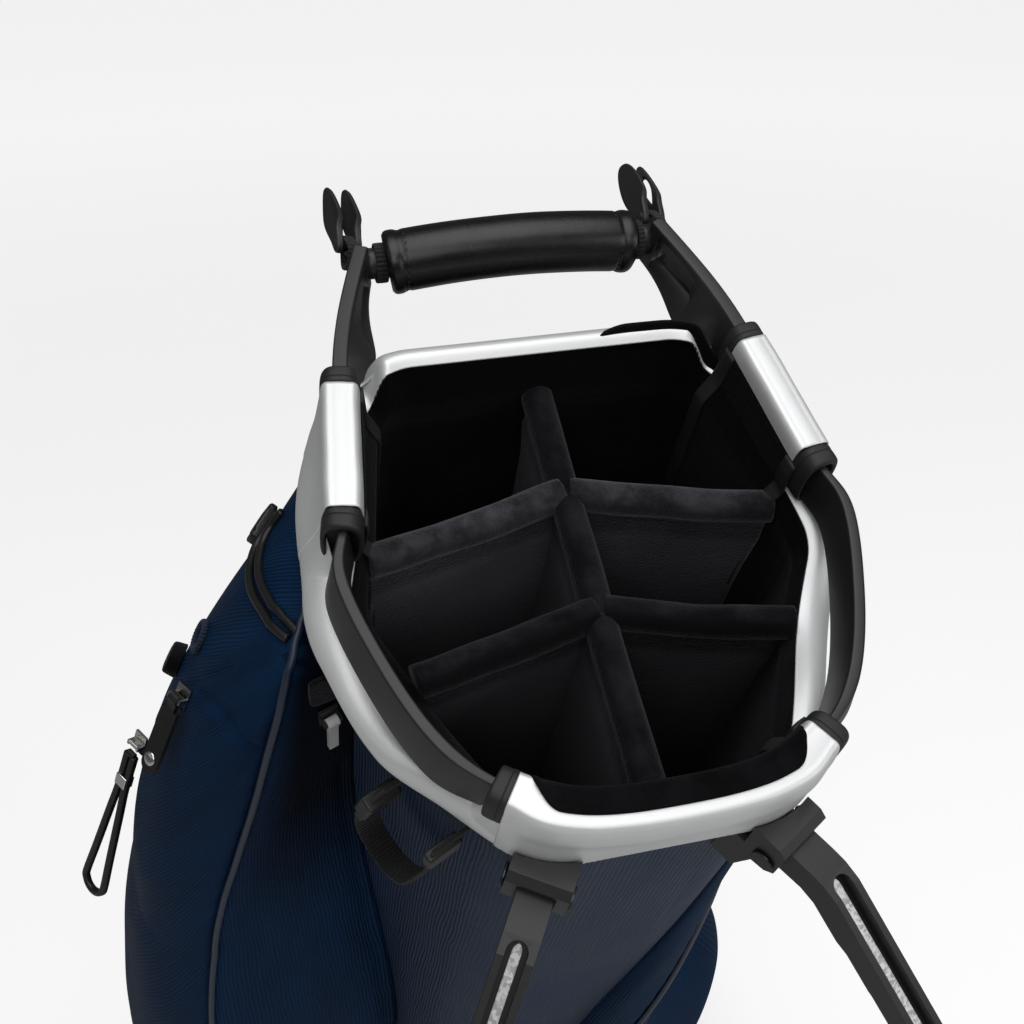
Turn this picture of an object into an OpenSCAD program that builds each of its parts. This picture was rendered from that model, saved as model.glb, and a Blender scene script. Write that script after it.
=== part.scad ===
// Golf stand bag, leaning on its opened legs.
// The bag is drawn upright: x to its right, y to its back, z up its axis, base at z = 0.
// stand() then leans it forward, so that the rocker foot and both leg feet meet the floor.

/* [Body] */
// Height of the top frame above the base, along the bag
bag_h = 870; // [800:5:900]
// Lean of the bag on its opened legs, in degrees
lean = 30; // [28:0.5:32]
// Half distance between the front corner centres
front_x = 38; // [36:0.5:42]
// Front corner centres ahead of the axis
front_y = 88; // [85:0.5:92]
// Half distance between the side corner centres
side_x = 80; // [78:0.5:84]
// Half distance between the back corner centres
back_x = 65; // [60:0.5:68]
// Back corner centres behind the axis
back_y = 83; // [80:0.5:86]
// Corner radius of the tube's outside
tube_r = 38; // [37:0.25:39]
// Wall of the tube
tube_wall = 3.5; // [3:0.25:4]
// Top edge of the tube below the top frame
tube_drop = 52; // [51:0.5:54]

/* [Lining and dividers] */
// Space between tube and lining, where the rods run
rod_gap = 9; // [8.5:0.25:10]
// Wall of the lining
lining_wall = 2; // [1.5:0.25:2.5]
// Thickness of a divider panel
panel_t = 5; // [3:0.5:6]
// Radius of the padded roll on a divider
roll_r = 8; // [6:0.5:9]
// Top of the divider rolls below the top frame
roll_drop = 33; // [30:1:45]
// Front cross divider, ahead of the axis
front_cross_y = 20; // [14:1:26]
// Rear cross divider, behind the axis
rear_cross_y = 47; // [42:1:52]
// Forward swing of the cross dividers from the spine, in degrees
cross_turn = 13; // [8:0.5:18]

/* [Top frame] */
// Width of the frame at its top
frame_top_w = 7; // [5:0.5:8]
// Width of the frame at its underside
frame_low_w = 13; // [11:0.5:14]
// Height of the frame where a sleeve holds it
frame_h = 24; // [20:0.5:24]
// Height of the arms at the grip
arm_h = 28; // [26:0.5:30]
// Distance of the grip behind the axis
grip_y = 184; // [180:1:190]
// Diameter of the leather grip
grip_d = 29; // [26:0.5:32]
// Length of the leather grip
grip_l = 132; // [120:1:136]
// Radius of the bar inside the grip
grip_core_r = 8; // [6:0.5:9]

/* [Collar] */
// Bulge of the collar outside the tube
collar_bulge = 7; // [5:0.5:8]
// Dip of the collar's rim under the side handles
rim_dip = 14; // [8:0.5:15]
// Rise of the collar's rim at the back
rim_rise = 16; // [10:0.5:18]
// Flare of the collar over the left pocket
left_flare = 15; // [8:1:16]
// Flare of the collar outside the left handle
handle_flare = 16; // [8:1:18]
// Wall of the sleeves
sleeve_wall = 1.6; // [1.2:0.1:2]
// Rise of the front sleeve above the frame
front_sleeve_rise = 8; // [4:0.5:9]
// Rise of the side sleeves above the frame
side_sleeve_rise = 3; // [2:0.25:4]

/* [Base and rocker] */
// Height of the base cup at the back
base_h = 80; // [70:1:95]
// Wall of the base cup
base_wall = 2.6; // [2:0.1:3.5]
// Floor of the base cup
base_floor = 5; // [4:0.5:6]
// Rocker hinge ahead of the axis
rocker_y = 64; // [60:0.5:68]
// Length of the rocker foot ahead of its hinge
rocker_l = 68; // [66:0.5:72]
// Width of the rocker foot
rocker_w = 140; // [120:1:150]
// Thickness of the rocker plate
rocker_t = 8; // [7:0.5:9]
// Thickness of the rubber sole
sole_t = 3; // [2:0.5:4]
// Radius of the rocker pin
rocker_pin_r = 3; // [2:0.25:3.5]
// Radius of the push rods
rod_r = 3; // [2:0.25:3]
// Half distance between the push rods
rod_x = 44; // [42:0.5:46]

/* [Legs] */
// Half distance between the leg hinges
hinge_x = 56; // [54:0.5:58]
// Leg hinges ahead of the tube's front
hinge_out = 11.5; // [9:0.5:13]
// Leg hinges below the top frame
hinge_drop = 51; // [50:0.5:53]
// Outward turn of the plane a leg swings in, in degrees
leg_yaw = 31; // [28:0.5:34]
// Opening of a leg from the bag's axis, in degrees
leg_open = 55.5; // [54:0.5:57]
// Width of a leg's upper housing
leg_w = 16; // [15:0.5:18]
// Depth of a leg's upper housing
leg_depth = 15; // [14.5:0.25:16]
// Offset of the leg's line from its hinge
leg_offset = 17; // [16:0.5:18]
// Length of the upper housing
housing_l = 330; // [280:5:380]
// Radius of the lower tube
leg_tube_r = 5; // [4:0.25:5.25]
// Radius of the rubber foot
foot_r = 13; // [11:0.5:15]
// Radius of the hinge pin
pin_r = 4; // [3:0.25:4.5]
// Radius of the boss that turns on the pin
boss_r = 9.5; // [9:0.25:10]
// Thickness of a bracket's cheeks
cheek_t = 5.5; // [4.5:0.25:6.5]

/* [Pockets] */
// Depth of the large left pocket
left_depth = 140; // [100:1:150]
// Depth of the right pocket's upper part
right_depth = 36; // [28:1:40]
// Further depth of the right pocket's lower part
right_belly = 115; // [95:1:120]
// Wall of the pockets
pocket_wall = 2; // [2:0.25:3]

/* [Fits] */
// Gap between soft pieces and their neighbours
clear = 0.3; // [0.2:0.05:0.5]
// Radial clearance of a turning pin
run = 0.05; // [0.03:0.01:0.08]

/* [Hidden] */
curve = 48;

// Corner centres of the tube's outline, anticlockwise from the right front
corners = [[front_x, -front_y], [side_x, 0], [back_x, back_y],
    [-back_x, back_y], [-side_x, 0], [-front_x, -front_y]];
lining_r = tube_r - tube_wall - rod_gap;
well_r = lining_r - lining_wall;
tube_top = bag_h - tube_drop;
cup_r = tube_r + clear + base_wall;

// Rocker: hinge line, and the floor's upward direction seen from the bag
rocker_z = rocker_t / 2 + sole_t;
rocker_seat = rocker_t / 2 + 0.5;
knuckle_r = rocker_z - 1;
knuckle_w = 80;
lug_w = 14;
plate_back = knuckle_r + 2;
up = [0, sin(lean), cos(lean)];
rocker_at = [0, -rocker_y, rocker_z];
sole_middle = -(rocker_l + plate_back) / 2;
sole_at = rocker_at + [0, cos(lean), -sin(lean)] * sole_middle - up * rocker_z;

// Push rods stand in the gap behind the tube's front corners
rod_y = -(front_y + sqrt(pow(lining_r + rod_gap / 2, 2) - pow(rod_x - front_x, 2)));
rod_low = rocker_z + (rocker_t / 2 - (rod_y - rod_r + rocker_y) * sin(lean)) / cos(lean) + clear;
rod_head_h = 26;
rod_top = bag_h - hinge_drop - 8;

// Legs: hinge, outward direction, line and face directions of the right leg
hinge_at = [hinge_x, -(front_y + tube_r + hinge_out), bag_h - hinge_drop];
leg_out = [sin(leg_yaw), -cos(leg_yaw), 0];
leg_dir = leg_out * sin(leg_open) - [0, 0, cos(leg_open)];
leg_face = leg_out * cos(leg_open) + [0, 0, sin(leg_open)];
foot_s = ((hinge_at - sole_at) * up + leg_offset * (leg_face * up) - foot_r) / -(leg_dir * up);
bracket_in = leg_w / 2 + 0.7;
bracket_out = bracket_in + cheek_t;

// Half the top frame's line, from the front centre to the end of an arm
half_line = [[0, -(front_y + tube_r + 1)], [front_x + 4, -(front_y + tube_r - 2.5)],
    [front_x + tube_r - 4, -(front_y + 20)], [front_x + tube_r + 16, -(front_y - 3)],
    [side_x + tube_r - 10, -48], [side_x + tube_r + 1, -4], [side_x + tube_r - 5, 28],
    [back_x + tube_r + 1, back_y + 13], [back_x + tube_r - 7, back_y + tube_r + 16],
    [grip_l / 2 + 14, grip_y]];
frame_line = concat([for (i = [len(half_line) - 1:-1:1]) [-half_line[i][0], half_line[i][1]]], half_line);
line_end = len(frame_line) - 1;

function smooth(t) = let (u = min(max(t, 0), 1)) u * u * (3 - 2 * u);
function bump(t) = exp(-t * t);
function mix(a, b, t) = a + (b - a) * t;

// Angle of the outward normal of the outline's edge i
function edge_angle(i) = let (d = corners[(i + 1) % 6] - corners[i]) atan2(d[1], d[0]) - 90;

// Arc k of n round corner i, at corner radius r
function corner_point(i, r, f) =
    let (a = edge_angle((i + 5) % 6), b = edge_angle(i), e = b < a ? b + 360 : b, g = mix(a, e, f))
    corners[i] + r * [cos(g), sin(g)];

// Outline at corner radius r: arc_n steps on each corner and edge_n points along each edge
function outline(r, arc_n, edge_n) = [for (i = [0:5]) each concat(
    [for (k = [0:arc_n]) corner_point(i, r, k / arc_n)],
    [for (k = [1:1:edge_n]) mix(corner_point(i, r, 1), corner_point((i + 1) % 6, r, 0), k / (edge_n + 1))])];

// Point of a smooth curve through the points p, at t from 0 to the last index
function spline(p, t) =
    let (n = len(p) - 1, i = min(floor(t), n - 1), f = t - i)
    let (a = p[max(i - 1, 0)], b = p[i], c = p[i + 1], d = p[min(i + 2, n)])
    0.5 * (2 * b + (c - a) * f + (2 * a - 5 * b + 4 * c - d) * f * f + (3 * b - a - 3 * c + d) * f * f * f);

// Outward normal of the frame's line at t
function line_normal(t) =
    let (v = spline(frame_line, min(t + 0.02, line_end)) - spline(frame_line, max(t - 0.02, 0)))
    [v[1], -v[0]] / norm(v);

// Ring of section points [outward, up] across the frame's line at t
function line_ring(t, section) =
    let (p = spline(frame_line, t), n = line_normal(t))
    [for (s = section) [p[0] + s[0] * n[0], p[1] + s[0] * n[1], bag_h + s[1]]];

// Height of the frame at t: taller towards the grip
function frame_height(t) = mix(frame_h, arm_h, smooth((abs(t - line_end / 2) - 7) / 1.5));

// Frame section grown by g all round
function frame_section(t, g) =
    let (a = frame_top_w / 2 + g, b = frame_low_w / 2 + g, h = frame_height(t) + g)
    [[-b, -h], [-(a + b) / 2, -h / 2], [-a, g], [-a / 2, g],
     [a / 2, g], [a, g], [(a + b) / 2, -h / 2], [b, -h]];

// Section of a sleeve: flat under the frame, round over it
function sleeve_section(t, rise) =
    let (b = frame_low_w / 2 + clear + sleeve_wall, h = frame_height(t) + clear + sleeve_wall)
    [[-b, -h], [-b - 0.5, -h / 3], [-b * 0.85, rise * 0.5], [-b * 0.4, rise],
     [b * 0.4, rise], [b * 0.85, rise * 0.5], [b + 0.5, -h / 3], [b, -h]];

function ring_faces(m, n, at, turn, wrap) = [for (i = [0:m - (wrap ? 1 : 2)]) for (j = [0:n - 1])
    let (k = (i + 1) % m, l = (j + 1) % n)
    let (a = at + i * n + j, b = at + i * n + l, c = at + k * n + l, d = at + k * n + j)
    each turn ? [[a, c, b], [a, d, c]] : [[a, b, c], [a, c, d]]];

// Faces of a folded skin: its inner half is split the other way, so that both walls bend alike
function skin_faces(m, n) = [for (i = [0:m - 2]) for (j = [0:n - 1])
    let (l = (j + 1) % n, a = i * n + j, b = i * n + l, c = b + n, d = a + n)
    each j < n / 2 ? [[a, c, b], [a, d, c]] : [[a, d, b], [b, d, c]]];

// Closed solid through equal rings of points with the faces between them, both ends capped
module capped(rings, sides) {
    m = len(rings);
    n = len(rings[0]);
    ends = [[for (j = [0:n - 1]) j], [for (j = [n - 1:-1:0]) (m - 1) * n + j]];
    polyhedron([for (r = rings) each r], concat(sides, ends), convexity = 8);
}
module loft(rings) capped(rings, ring_faces(len(rings), len(rings[0]), 0, true, false));

// Skin whose rings are each an outer line and then the inner line back
module skin(rings) capped(rings, skin_faces(len(rings), len(rings[0])));

// Closed ring: the last ring joins the first
module loop(rings) {
    faces = ring_faces(len(rings), len(rings[0]), 0, false, true);
    polyhedron([for (r = rings) each r], faces, convexity = 8);
}

// Pipe between outer and inner rings, open at both ends
module pipe(outer, inner) {
    m = len(outer);
    n = len(outer[0]);
    q = m * n;
    last = (m - 1) * n;
    ends = [for (j = [0:n - 1]) let (l = (j + 1) % n, a = last + j, b = last + l)
        each [[j, q + l, q + j], [j, l, q + l], [a, q + a, q + b], [a, q + b, b]]];
    sides = concat(ring_faces(m, n, 0, true, false), ring_faces(m, n, q, false, false));
    polyhedron([for (r = outer) each r, for (r = inner) each r], concat(sides, ends), convexity = 8);
}

// Leans the upright bag onto its legs, with the middle of the sole at the origin
module stand() rotate([lean, 0, 0]) translate(-sole_at) children();

// Upright prism of the outline at corner radius r
module prism(r, low, high) translate([0, 0, low]) linear_extrude(high - low) polygon(outline(r, 8, 0));

// Everything below the floor's slope, raised by gap above the rocker's hinge
slope_size = [600, 800, 300];
module under_slope(gap) translate(rocker_at) rotate([-lean, 0, 0])
    translate([-slope_size[0] / 2, -slope_size[1] / 2, gap - slope_size[2]]) cube(slope_size);

// Places along a leg hinge: x along the pin, y into the bag
module at_hinge(side) translate([side * hinge_at[0], hinge_at[1], hinge_at[2]])
    rotate([0, 0, side * leg_yaw]) children();

// Places along a leg: z up the leg, y from its face to its underside
module at_leg(side) at_hinge(side) rotate([-leg_open, 0, 0]) children();

// Prism of a profile in the yz plane, centred on x
module across(w) translate([-w / 2, 0, 0]) rotate([90, 0, 90]) linear_extrude(w) children();

// Round bar along x, centred
module bar(r, w) rotate([0, 90, 0]) cylinder(r = r, h = w, center = true, $fn = curve);

module tube_shell() color("midnightblue") stand() difference() {
    prism(tube_r, base_floor + clear, tube_top);
    prism(tube_r - tube_wall, 0, bag_h);
    under_slope(rocker_seat + base_floor + clear);
    for (side = [-1, 1]) at_hinge(side) translate([-6, 0, -44]) cube([12, 40, 28]);
}

module lining() color("black") stand() difference() {
    prism(lining_r, base_floor + clear, tube_top);
    prism(well_r, 0, bag_h);
    under_slope(rocker_seat + base_floor + clear);
}

// Panel and padded roll of one divider, cut to the lining
span = 2 * (front_y + tube_r + back_y);
module divider_cut() difference() {
    intersection() {
        children();
        prism(well_r - clear, base_floor + clear, bag_h);
    }
    under_slope(rocker_seat + base_floor + clear);
}

roll_z = bag_h - roll_drop - roll_r;

// Spine along the middle, grown by g
module spine_form(g) {
    translate([-panel_t / 2 - g, -span / 2, 0]) cube([panel_t + 2 * g, span, roll_z]);
    translate([0, 0, roll_z]) rotate([90, 0, 0])
        cylinder(r = roll_r + g, h = span, center = true, $fn = curve);
}

module divider_spine() color("black") stand() divider_cut() spine_form(0);

// Cross divider whose halves swing forward from the spine
module cross_divider(y) divider_cut() difference() {
    for (side = [0, 1]) mirror([side, 0, 0]) translate([0, y, 0]) rotate([0, 0, -cross_turn]) {
        translate([0, -panel_t / 2, 0]) cube([span / 2, panel_t, roll_z]);
        translate([span / 4, 0, roll_z]) bar(roll_r, span / 2);
    }
    spine_form(clear);
}

module divider_front() color("black") stand() cross_divider(-front_cross_y);
module divider_rear() color("black") stand() cross_divider(rear_cross_y);

// Long wedge cut through each arm, open towards the grip
module arm_windows() for (side = [-1, 1]) translate([side * 84, grip_y - 12, bag_h - arm_h / 2 + 1])
    rotate([0, 0, side * 19]) across(60) polygon([[4, 5], [4, -7], [-34, 1], [-30, 4]]);

module top_frame() color("dimgray") stand() difference() {
    union() {
        loft([for (k = [0:4 * line_end]) line_ring(k / 4, frame_section(k / 4, 0))]);
        translate([0, grip_y, bag_h - arm_h / 2]) bar(grip_core_r, 2 * half_line[len(half_line) - 1][0] + 6);
    }
    arm_windows();
}

module handle_grip() color("black") stand() translate([0, grip_y, bag_h - arm_h / 2]) difference() {
    bar(grip_d / 2, grip_l);
    bar(grip_core_r + clear, grip_l + 2);
}

// Top of the collar's rim at a point of the outline
function rim_top(p) = bag_h - frame_h - sleeve_wall - 2 * clear
    - rim_dip * bump((p[1] + 38) / 36) * smooth((abs(p[0]) - 50) / 30)
    + rim_rise * smooth((p[1] - 98) / 10) * smooth((90 - abs(p[0])) / 12);

// Section of the collar at point i of the outline: radial place and height of each corner
collar_low = tube_top + 0.2;
// Each line holds its radius, its share of the height and its shares of the two flares
collar_lines = [[lining_r - lining_wall, 0, 0, 0], [tube_r + 1, 0, 1, 0.75],
    [tube_r + collar_bulge * 0.8, 0.25, 1, 0.95], [tube_r + collar_bulge, 0.55, 0.9, 1],
    [tube_r + collar_bulge * 0.5, 0.9, 0.3, 1], [tube_r - 3, 1, 0, 0.95], [lining_r + 2, 0.85, 0, 0.85]];
collar_paths = [for (c = collar_lines) outline(c[0], 6, 5)];
flared_paths = [for (c = collar_lines) outline(c[0] + c[3] * handle_flare, 6, 5)];
function flare(p) = left_flare * bump((p[1] - 62) / 58) * smooth((-p[0] - 60) / 30);
// Share of the flare outside the left handle, widest a little before its middle
function handle_share(p) = bump((p[1] + 64) / (p[1] > -64 ? 58 : 33))
    * smooth((p[1] + 122) / 20) * smooth((-p[0] - 20) / 30);

module collar() color("silver") stand() loop([for (i = [0:71]) [for (k = [0:6])
    let (c = collar_lines[k], p = collar_paths[k][i], q = mix(p, flared_paths[k][i], handle_share(p)))
    [q[0] - c[2] * flare(p), q[1], mix(collar_low, rim_top(p), c[1])]]]);

// Sleeve over the frame between two places on its line
module sleeve(from, to, rise) {
    steps = ceil((to - from) * 5);
    places = [for (k = [0:steps]) mix(from, to, k / steps)];
    outer = [for (t = places) line_ring(t, sleeve_section(t, rise))];
    inner = [for (t = places) line_ring(t, frame_section(t, clear))];
    pipe(outer, inner);
}

module sleeve_front() color("silver") stand() sleeve(7.2, 10.8, front_sleeve_rise);
module sleeve_left() color("silver") stand() sleeve(2, 3, side_sleeve_rise);
module sleeve_right() color("silver") stand() sleeve(15, 16, side_sleeve_rise);

// Ribbed bindings where the frame leaves a sleeve
binding_places = [[1.8, 1.99], [3.01, 3.27], [6.92, 7.19], [10.81, 11.08], [14.73, 14.99], [16.01, 16.2]];
module collar_bindings() color("black") stand() for (b = binding_places)
    sleeve(b[0], b[1], side_sleeve_rise + 1);

module base_cup() color("black") stand() difference() {
    union() {
        difference() {
            prism(cup_r, 0, base_h);
            difference() {
                prism(tube_r + clear, base_floor, base_h + 1);
                under_slope(rocker_seat + base_floor);
            }
            under_slope(rocker_seat);
        }
        for (side = [-1, 1]) translate(rocker_at + [side * (knuckle_w + lug_w) / 2, 0, 0])
            bar(knuckle_r, lug_w - 1);
    }
    translate(rocker_at) bar(knuckle_r + 0.5, knuckle_w);
    translate(rocker_at) bar(rocker_pin_r + run, rocker_w);
    for (side = [-1, 1]) translate([side * rod_x, rod_y, 0]) cylinder(r = rod_r + 1, h = bag_h, $fn = curve);
}

// Places in the rocker foot: y back along the floor, z up from it
module at_rocker() translate(rocker_at) rotate([-lean, 0, 0]) children();

module rocker_foot() color("black") stand() at_rocker() difference() {
    union() {
        translate([-rocker_w / 2, -rocker_l, -rocker_t / 2])
            cube([rocker_w, rocker_l - plate_back, rocker_t]);
        translate([-knuckle_w / 2 + 0.5, -plate_back - 1, -rocker_t / 2])
            cube([knuckle_w - 1, plate_back + 1, rocker_t]);
        bar(knuckle_r, knuckle_w - 1);
    }
    bar(rocker_pin_r + run, rocker_w);
}

module rocker_sole() color("dimgray") stand() at_rocker() translate([-rocker_w / 2, -rocker_l, -rocker_z])
    cube([rocker_w, rocker_l - plate_back, sole_t]);

module rocker_pin() color("silver") stand() translate(rocker_at) bar(rocker_pin_r, knuckle_w + 2 * lug_w);

module push_rods() color("silver") stand() for (side = [-1, 1]) translate([side * rod_x, rod_y, 0]) {
    translate([0, 0, rod_low]) cylinder(r = rod_r, h = rod_top - rod_low, $fn = curve);
    translate([-5, -rod_r, rod_top - rod_head_h]) cube([10, 2 * rod_r, rod_head_h]);
}

// Guides hold the rods in the gap between tube and lining
module rod_guides() color("black") stand() for (side = [-1, 1]) for (z = [0.35, 0.7] * bag_h) difference() {
    intersection() {
        prism(tube_r - tube_wall - clear, z, z + 20);
        translate([side * rod_x - 7, -span / 2, z]) cube([14, span / 2 - 50, 20]);
    }
    prism(lining_r + clear, 0, bag_h);
    translate([side * rod_x, rod_y, 0]) cylinder(r = rod_r + run, h = bag_h, $fn = curve);
}

// Pockets: skins that swell from the outline, drawn as rings of pocket_n steps at pocket_steps heights
pocket_path = outline(tube_r + clear, 6, 5);
path_n = len(pocket_path);
pocket_top = tube_top - 1.5;
pocket_low = base_h + 3;
pocket_steps = 16;
pocket_n = 26;
skin_inset = 0.25;
function path_normal(i) = let (v = pocket_path[(i + 1) % path_n] - pocket_path[(i + path_n - 1) % path_n])
    [v[1], -v[0]] / norm(v);
function path_at(i) = let (a = floor(i)) mix(pocket_path[a], pocket_path[(a + 1) % path_n], i - a);
function normal_at(i) = let (a = floor(i), v = mix(path_normal(a), path_normal(a + 1), i - a)) v / norm(v);
function pocket_z(m) = mix(pocket_low, pocket_top, 1 - pow(1 - m / pocket_steps, 1.5));
function ring_share(k) = (1 - cos(180 * k / pocket_n)) / 2;
function box_shape(u) = sqrt(max(1 - pow(abs(2 * u - 1), 3), 0));
function skin_point(i, z, out) = let (p = path_at(i) + normal_at(i) * out) [p[0], p[1], z];

// Ends of a pocket close against the tube, the lower one over a height of low_h
function closing(z, low_h) = sqrt(max(smooth((z - pocket_low) / low_h) * smooth((pocket_top - z) / 14), 0));

// Left pocket: its front edge comes forward further down
function left_deep(z) = let (d = bag_h - z) pocket_wall + closing(z, 100)
    * (left_depth * 1.12 * (1 - exp((30 - d) / 166)) + 0.09 * max(d - 360, 0) - pocket_wall);
function left_end(z) = mix(54, 58, smooth((bag_h - z - 180) / 450));
function left_vertex(k, z, inset, thin) = let (u = ring_share(k))
    skin_point(mix(39 + inset, left_end(z) - inset, u), z, (left_deep(z) - thin) * box_shape(pow(u, 1.6)));

// Right pocket: a flat upper part over a rounded belly. Its top edge starts beside the leg's bracket
right_ends = [0, 27];
bracket_end = 4;
// Room under the skin where its flat facets pass the tube's round corners
facet_gap = 1.2;
// Height over which the front edge comes forward below the bracket
start_l = 420;
belly_ends = [3, 24];
right_close = 60;
flat_drop = 100;
flat_l = 450;
belly_drop = 560;
belly_l = 210;
function right_flat(z) =
    closing(z, right_close) * right_depth * min(max((bag_h - z - flat_drop) / flat_l, 0), 1);
function right_round(z) = closing(z, right_close) * right_belly * smooth((bag_h - z - belly_drop) / belly_l);
function belly_shape(i) = pow(max(sin(180 * (i - belly_ends[0]) / (belly_ends[1] - belly_ends[0])), 0), 0.8);
function right_start(z) = mix(bracket_end, right_ends[0], smooth((bag_h - z - 90) / start_l));
function right_vertex(k, z, inset, thin) =
    let (u = ring_share(k), i = mix(right_start(z) + inset, right_ends[1] - inset, u))
    skin_point(i, z, right_round(z) * belly_shape(i)
        + (facet_gap + pocket_wall - thin + right_flat(z) * (1 - 0.7 * smooth((i - 4) / 10))) * box_shape(u));

function left_ring(z) = concat(
    [for (k = [0:pocket_n]) left_vertex(k, z, 0, 0)],
    [for (k = [pocket_n:-1:0]) left_vertex(k, z, skin_inset, pocket_wall)]);
function right_ring(z) = concat(
    [for (k = [0:pocket_n]) right_vertex(k, z, 0, 0)],
    [for (k = [pocket_n:-1:0]) right_vertex(k, z, skin_inset, pocket_wall)]);

module left_pocket() color("midnightblue") stand()
    skin([for (m = [0:pocket_steps]) left_ring(pocket_z(m))]);
module right_pocket() color("midnightblue") stand()
    skin([for (m = [0:pocket_steps]) right_ring(pocket_z(m))]);

// Hooded bracket of a leg: two cheeks, a hood over the leg and a web below it
hood_z = boss_r + 3;
hood_top = hood_z + 5;
bracket_low = -30;
bracket_back = 30;
module leg_bracket(side) difference() {
    at_hinge(side) difference() {
        union() {
            for (x = [-1, 1]) translate([x * (bracket_in + bracket_out) / 2, 0, 0]) across(cheek_t) polygon([
                [bracket_back, bracket_low], [bracket_back, hood_top], [-3, hood_top], [-7, hood_top - 3],
                [-7, -4], [-3, -8.5], [4, -10], [boss_r, bracket_low]]);
            across(2 * bracket_in + 0.2) {
                polygon([[bracket_back, hood_z], [bracket_back, hood_top], [-3, hood_top],
                    [-7, hood_top - 3], [-7, hood_z]]);
                translate([boss_r, bracket_low]) square([bracket_back - boss_r, boss_r]);
            }
        }
        bar(pin_r + run, 60);
    }
    prism(tube_r + clear, 0, tube_top + 0.1);
    prism(tube_r + collar_bulge + 2.5, tube_top, bag_h);
}

// Pin with a head outside each cheek
module leg_pin(side) at_hinge(side) {
    bar(pin_r, 2 * bracket_out + 1);
    for (x = [-1, 1]) translate([x * (bracket_out + 0.9), 0, 0]) bar(pin_r + 1.5, 1.6);
}

// Torsion spring beside the leg's boss, as its outer form
spring_l = 5;
module leg_spring(side) at_hinge(side) translate([leg_w / 2 - spring_l / 2, 0, 0]) difference() {
    bar(pin_r + 2.5, spring_l);
    bar(pin_r + 0.4, spring_l + 2);
}

inlay_top = 16.5;
inlay_low = 30;
channel_w = 9.5;
inlay_t = 2;
socket_l = 25;
channel_top = inlay_top + channel_w / 2;
channel_end = housing_l - inlay_low - channel_w / 2;
face_y = -(leg_offset + leg_depth / 2);
under_y = -(leg_offset - leg_depth / 2);

// Profile of the upper housing: boss, gooseneck and tapering shank
module housing_profile() {
    circle(boss_r, $fn = curve);
    polygon([[-7.9, 5.3], [face_y + 6, -9], [face_y + 2.4, -15], [face_y, -24], [face_y + 1, -housing_l],
        [under_y - 1, -housing_l], [under_y - 0.5, -81], [under_y, -78], [under_y, -57], [under_y + 2, -50],
        [under_y + 2, -28], [under_y + 5, -20], [7.9, -5.3]]);
}

// Channel in the face of the housing, round at both ends
module channel(w, low, high, bottom, top) translate([0, 0, -high]) {
    translate([-w / 2, -top, 0]) cube([w, top - bottom, high - low]);
    for (z = [0, high - low]) translate([0, -bottom, z]) rotate([90, 0, 0])
        cylinder(r = w / 2, h = top - bottom, $fn = curve);
}

module leg_housing(side) at_leg(side) difference() {
    across(leg_w) housing_profile();
    bar(pin_r + run, leg_w + 2);
    translate([leg_w / 2 - spring_l / 2, 0, 0]) bar(pin_r + 3, spring_l + 0.6);
    channel(channel_w, channel_top, channel_end, leg_offset, leg_offset + leg_depth);
    translate([0, -leg_offset, -housing_l - 1]) cylinder(r = leg_tube_r + run, h = socket_l + 1, $fn = curve);
}

module leg_inlay(side) at_leg(side)
    channel(channel_w - 1, channel_top, channel_end, leg_offset + 0.1, leg_offset + inlay_t);

module leg_tube(side) at_leg(side) translate([0, -leg_offset, -foot_s])
    cylinder(r = leg_tube_r, h = foot_s - housing_l + socket_l - clear, $fn = curve);

foot_neck_l = 26;
module leg_foot(side) at_leg(side) translate([0, -leg_offset, -foot_s]) difference() {
    union() {
        sphere(foot_r, $fn = curve);
        cylinder(r = leg_tube_r + 3, h = foot_neck_l, $fn = curve);
    }
    translate([0, 0, -clear]) cylinder(r = leg_tube_r + run, h = foot_neck_l + 2, $fn = curve);
}

module leg_bracket_left() color("dimgray") stand() leg_bracket(-1);
module leg_bracket_right() color("dimgray") stand() leg_bracket(1);
module leg_pin_left() color("silver") stand() leg_pin(-1);
module leg_pin_right() color("silver") stand() leg_pin(1);
module leg_spring_left() color("silver") stand() leg_spring(-1);
module leg_spring_right() color("silver") stand() leg_spring(1);
module leg_housing_left() color("dimgray") stand() leg_housing(-1);
module leg_housing_right() color("dimgray") stand() leg_housing(1);
module leg_inlay_left() color("silver") stand() leg_inlay(-1);
module leg_inlay_right() color("silver") stand() leg_inlay(1);
module leg_tube_left() color("gray") stand() leg_tube(-1);
module leg_tube_right() color("gray") stand() leg_tube(1);
module leg_foot_left() color("black") stand() leg_foot(-1);
module leg_foot_right() color("black") stand() leg_foot(1);

// Webbing loop round the bar beside the grip, reaching back to a tunnel for the clip
tunnel_r = 5;
tunnel_l = 6;
clip_bar_r = 2.5;
web_t = 2;
clip_roll = 15;
leaf_t = 3.5;
leaf_l = 46;
leaf_w = 12;
clip_at = [84, grip_y + 17, bag_h - arm_h / 2 - 2];
loop_w = half_line[len(half_line) - 1][0] - frame_low_w / 2 - 1 - grip_l / 2;
loop_in = grip_l / 2 + clear;
tongue_y = clip_at[1] - leaf_w / 2 - 1;

// Places at a clip's bar: x along the bar, y towards the leaf tips
module at_clip(side) translate([side * clip_at[0], clip_at[1], clip_at[2]])
    rotate([0, clip_roll, 0]) children();

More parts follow.
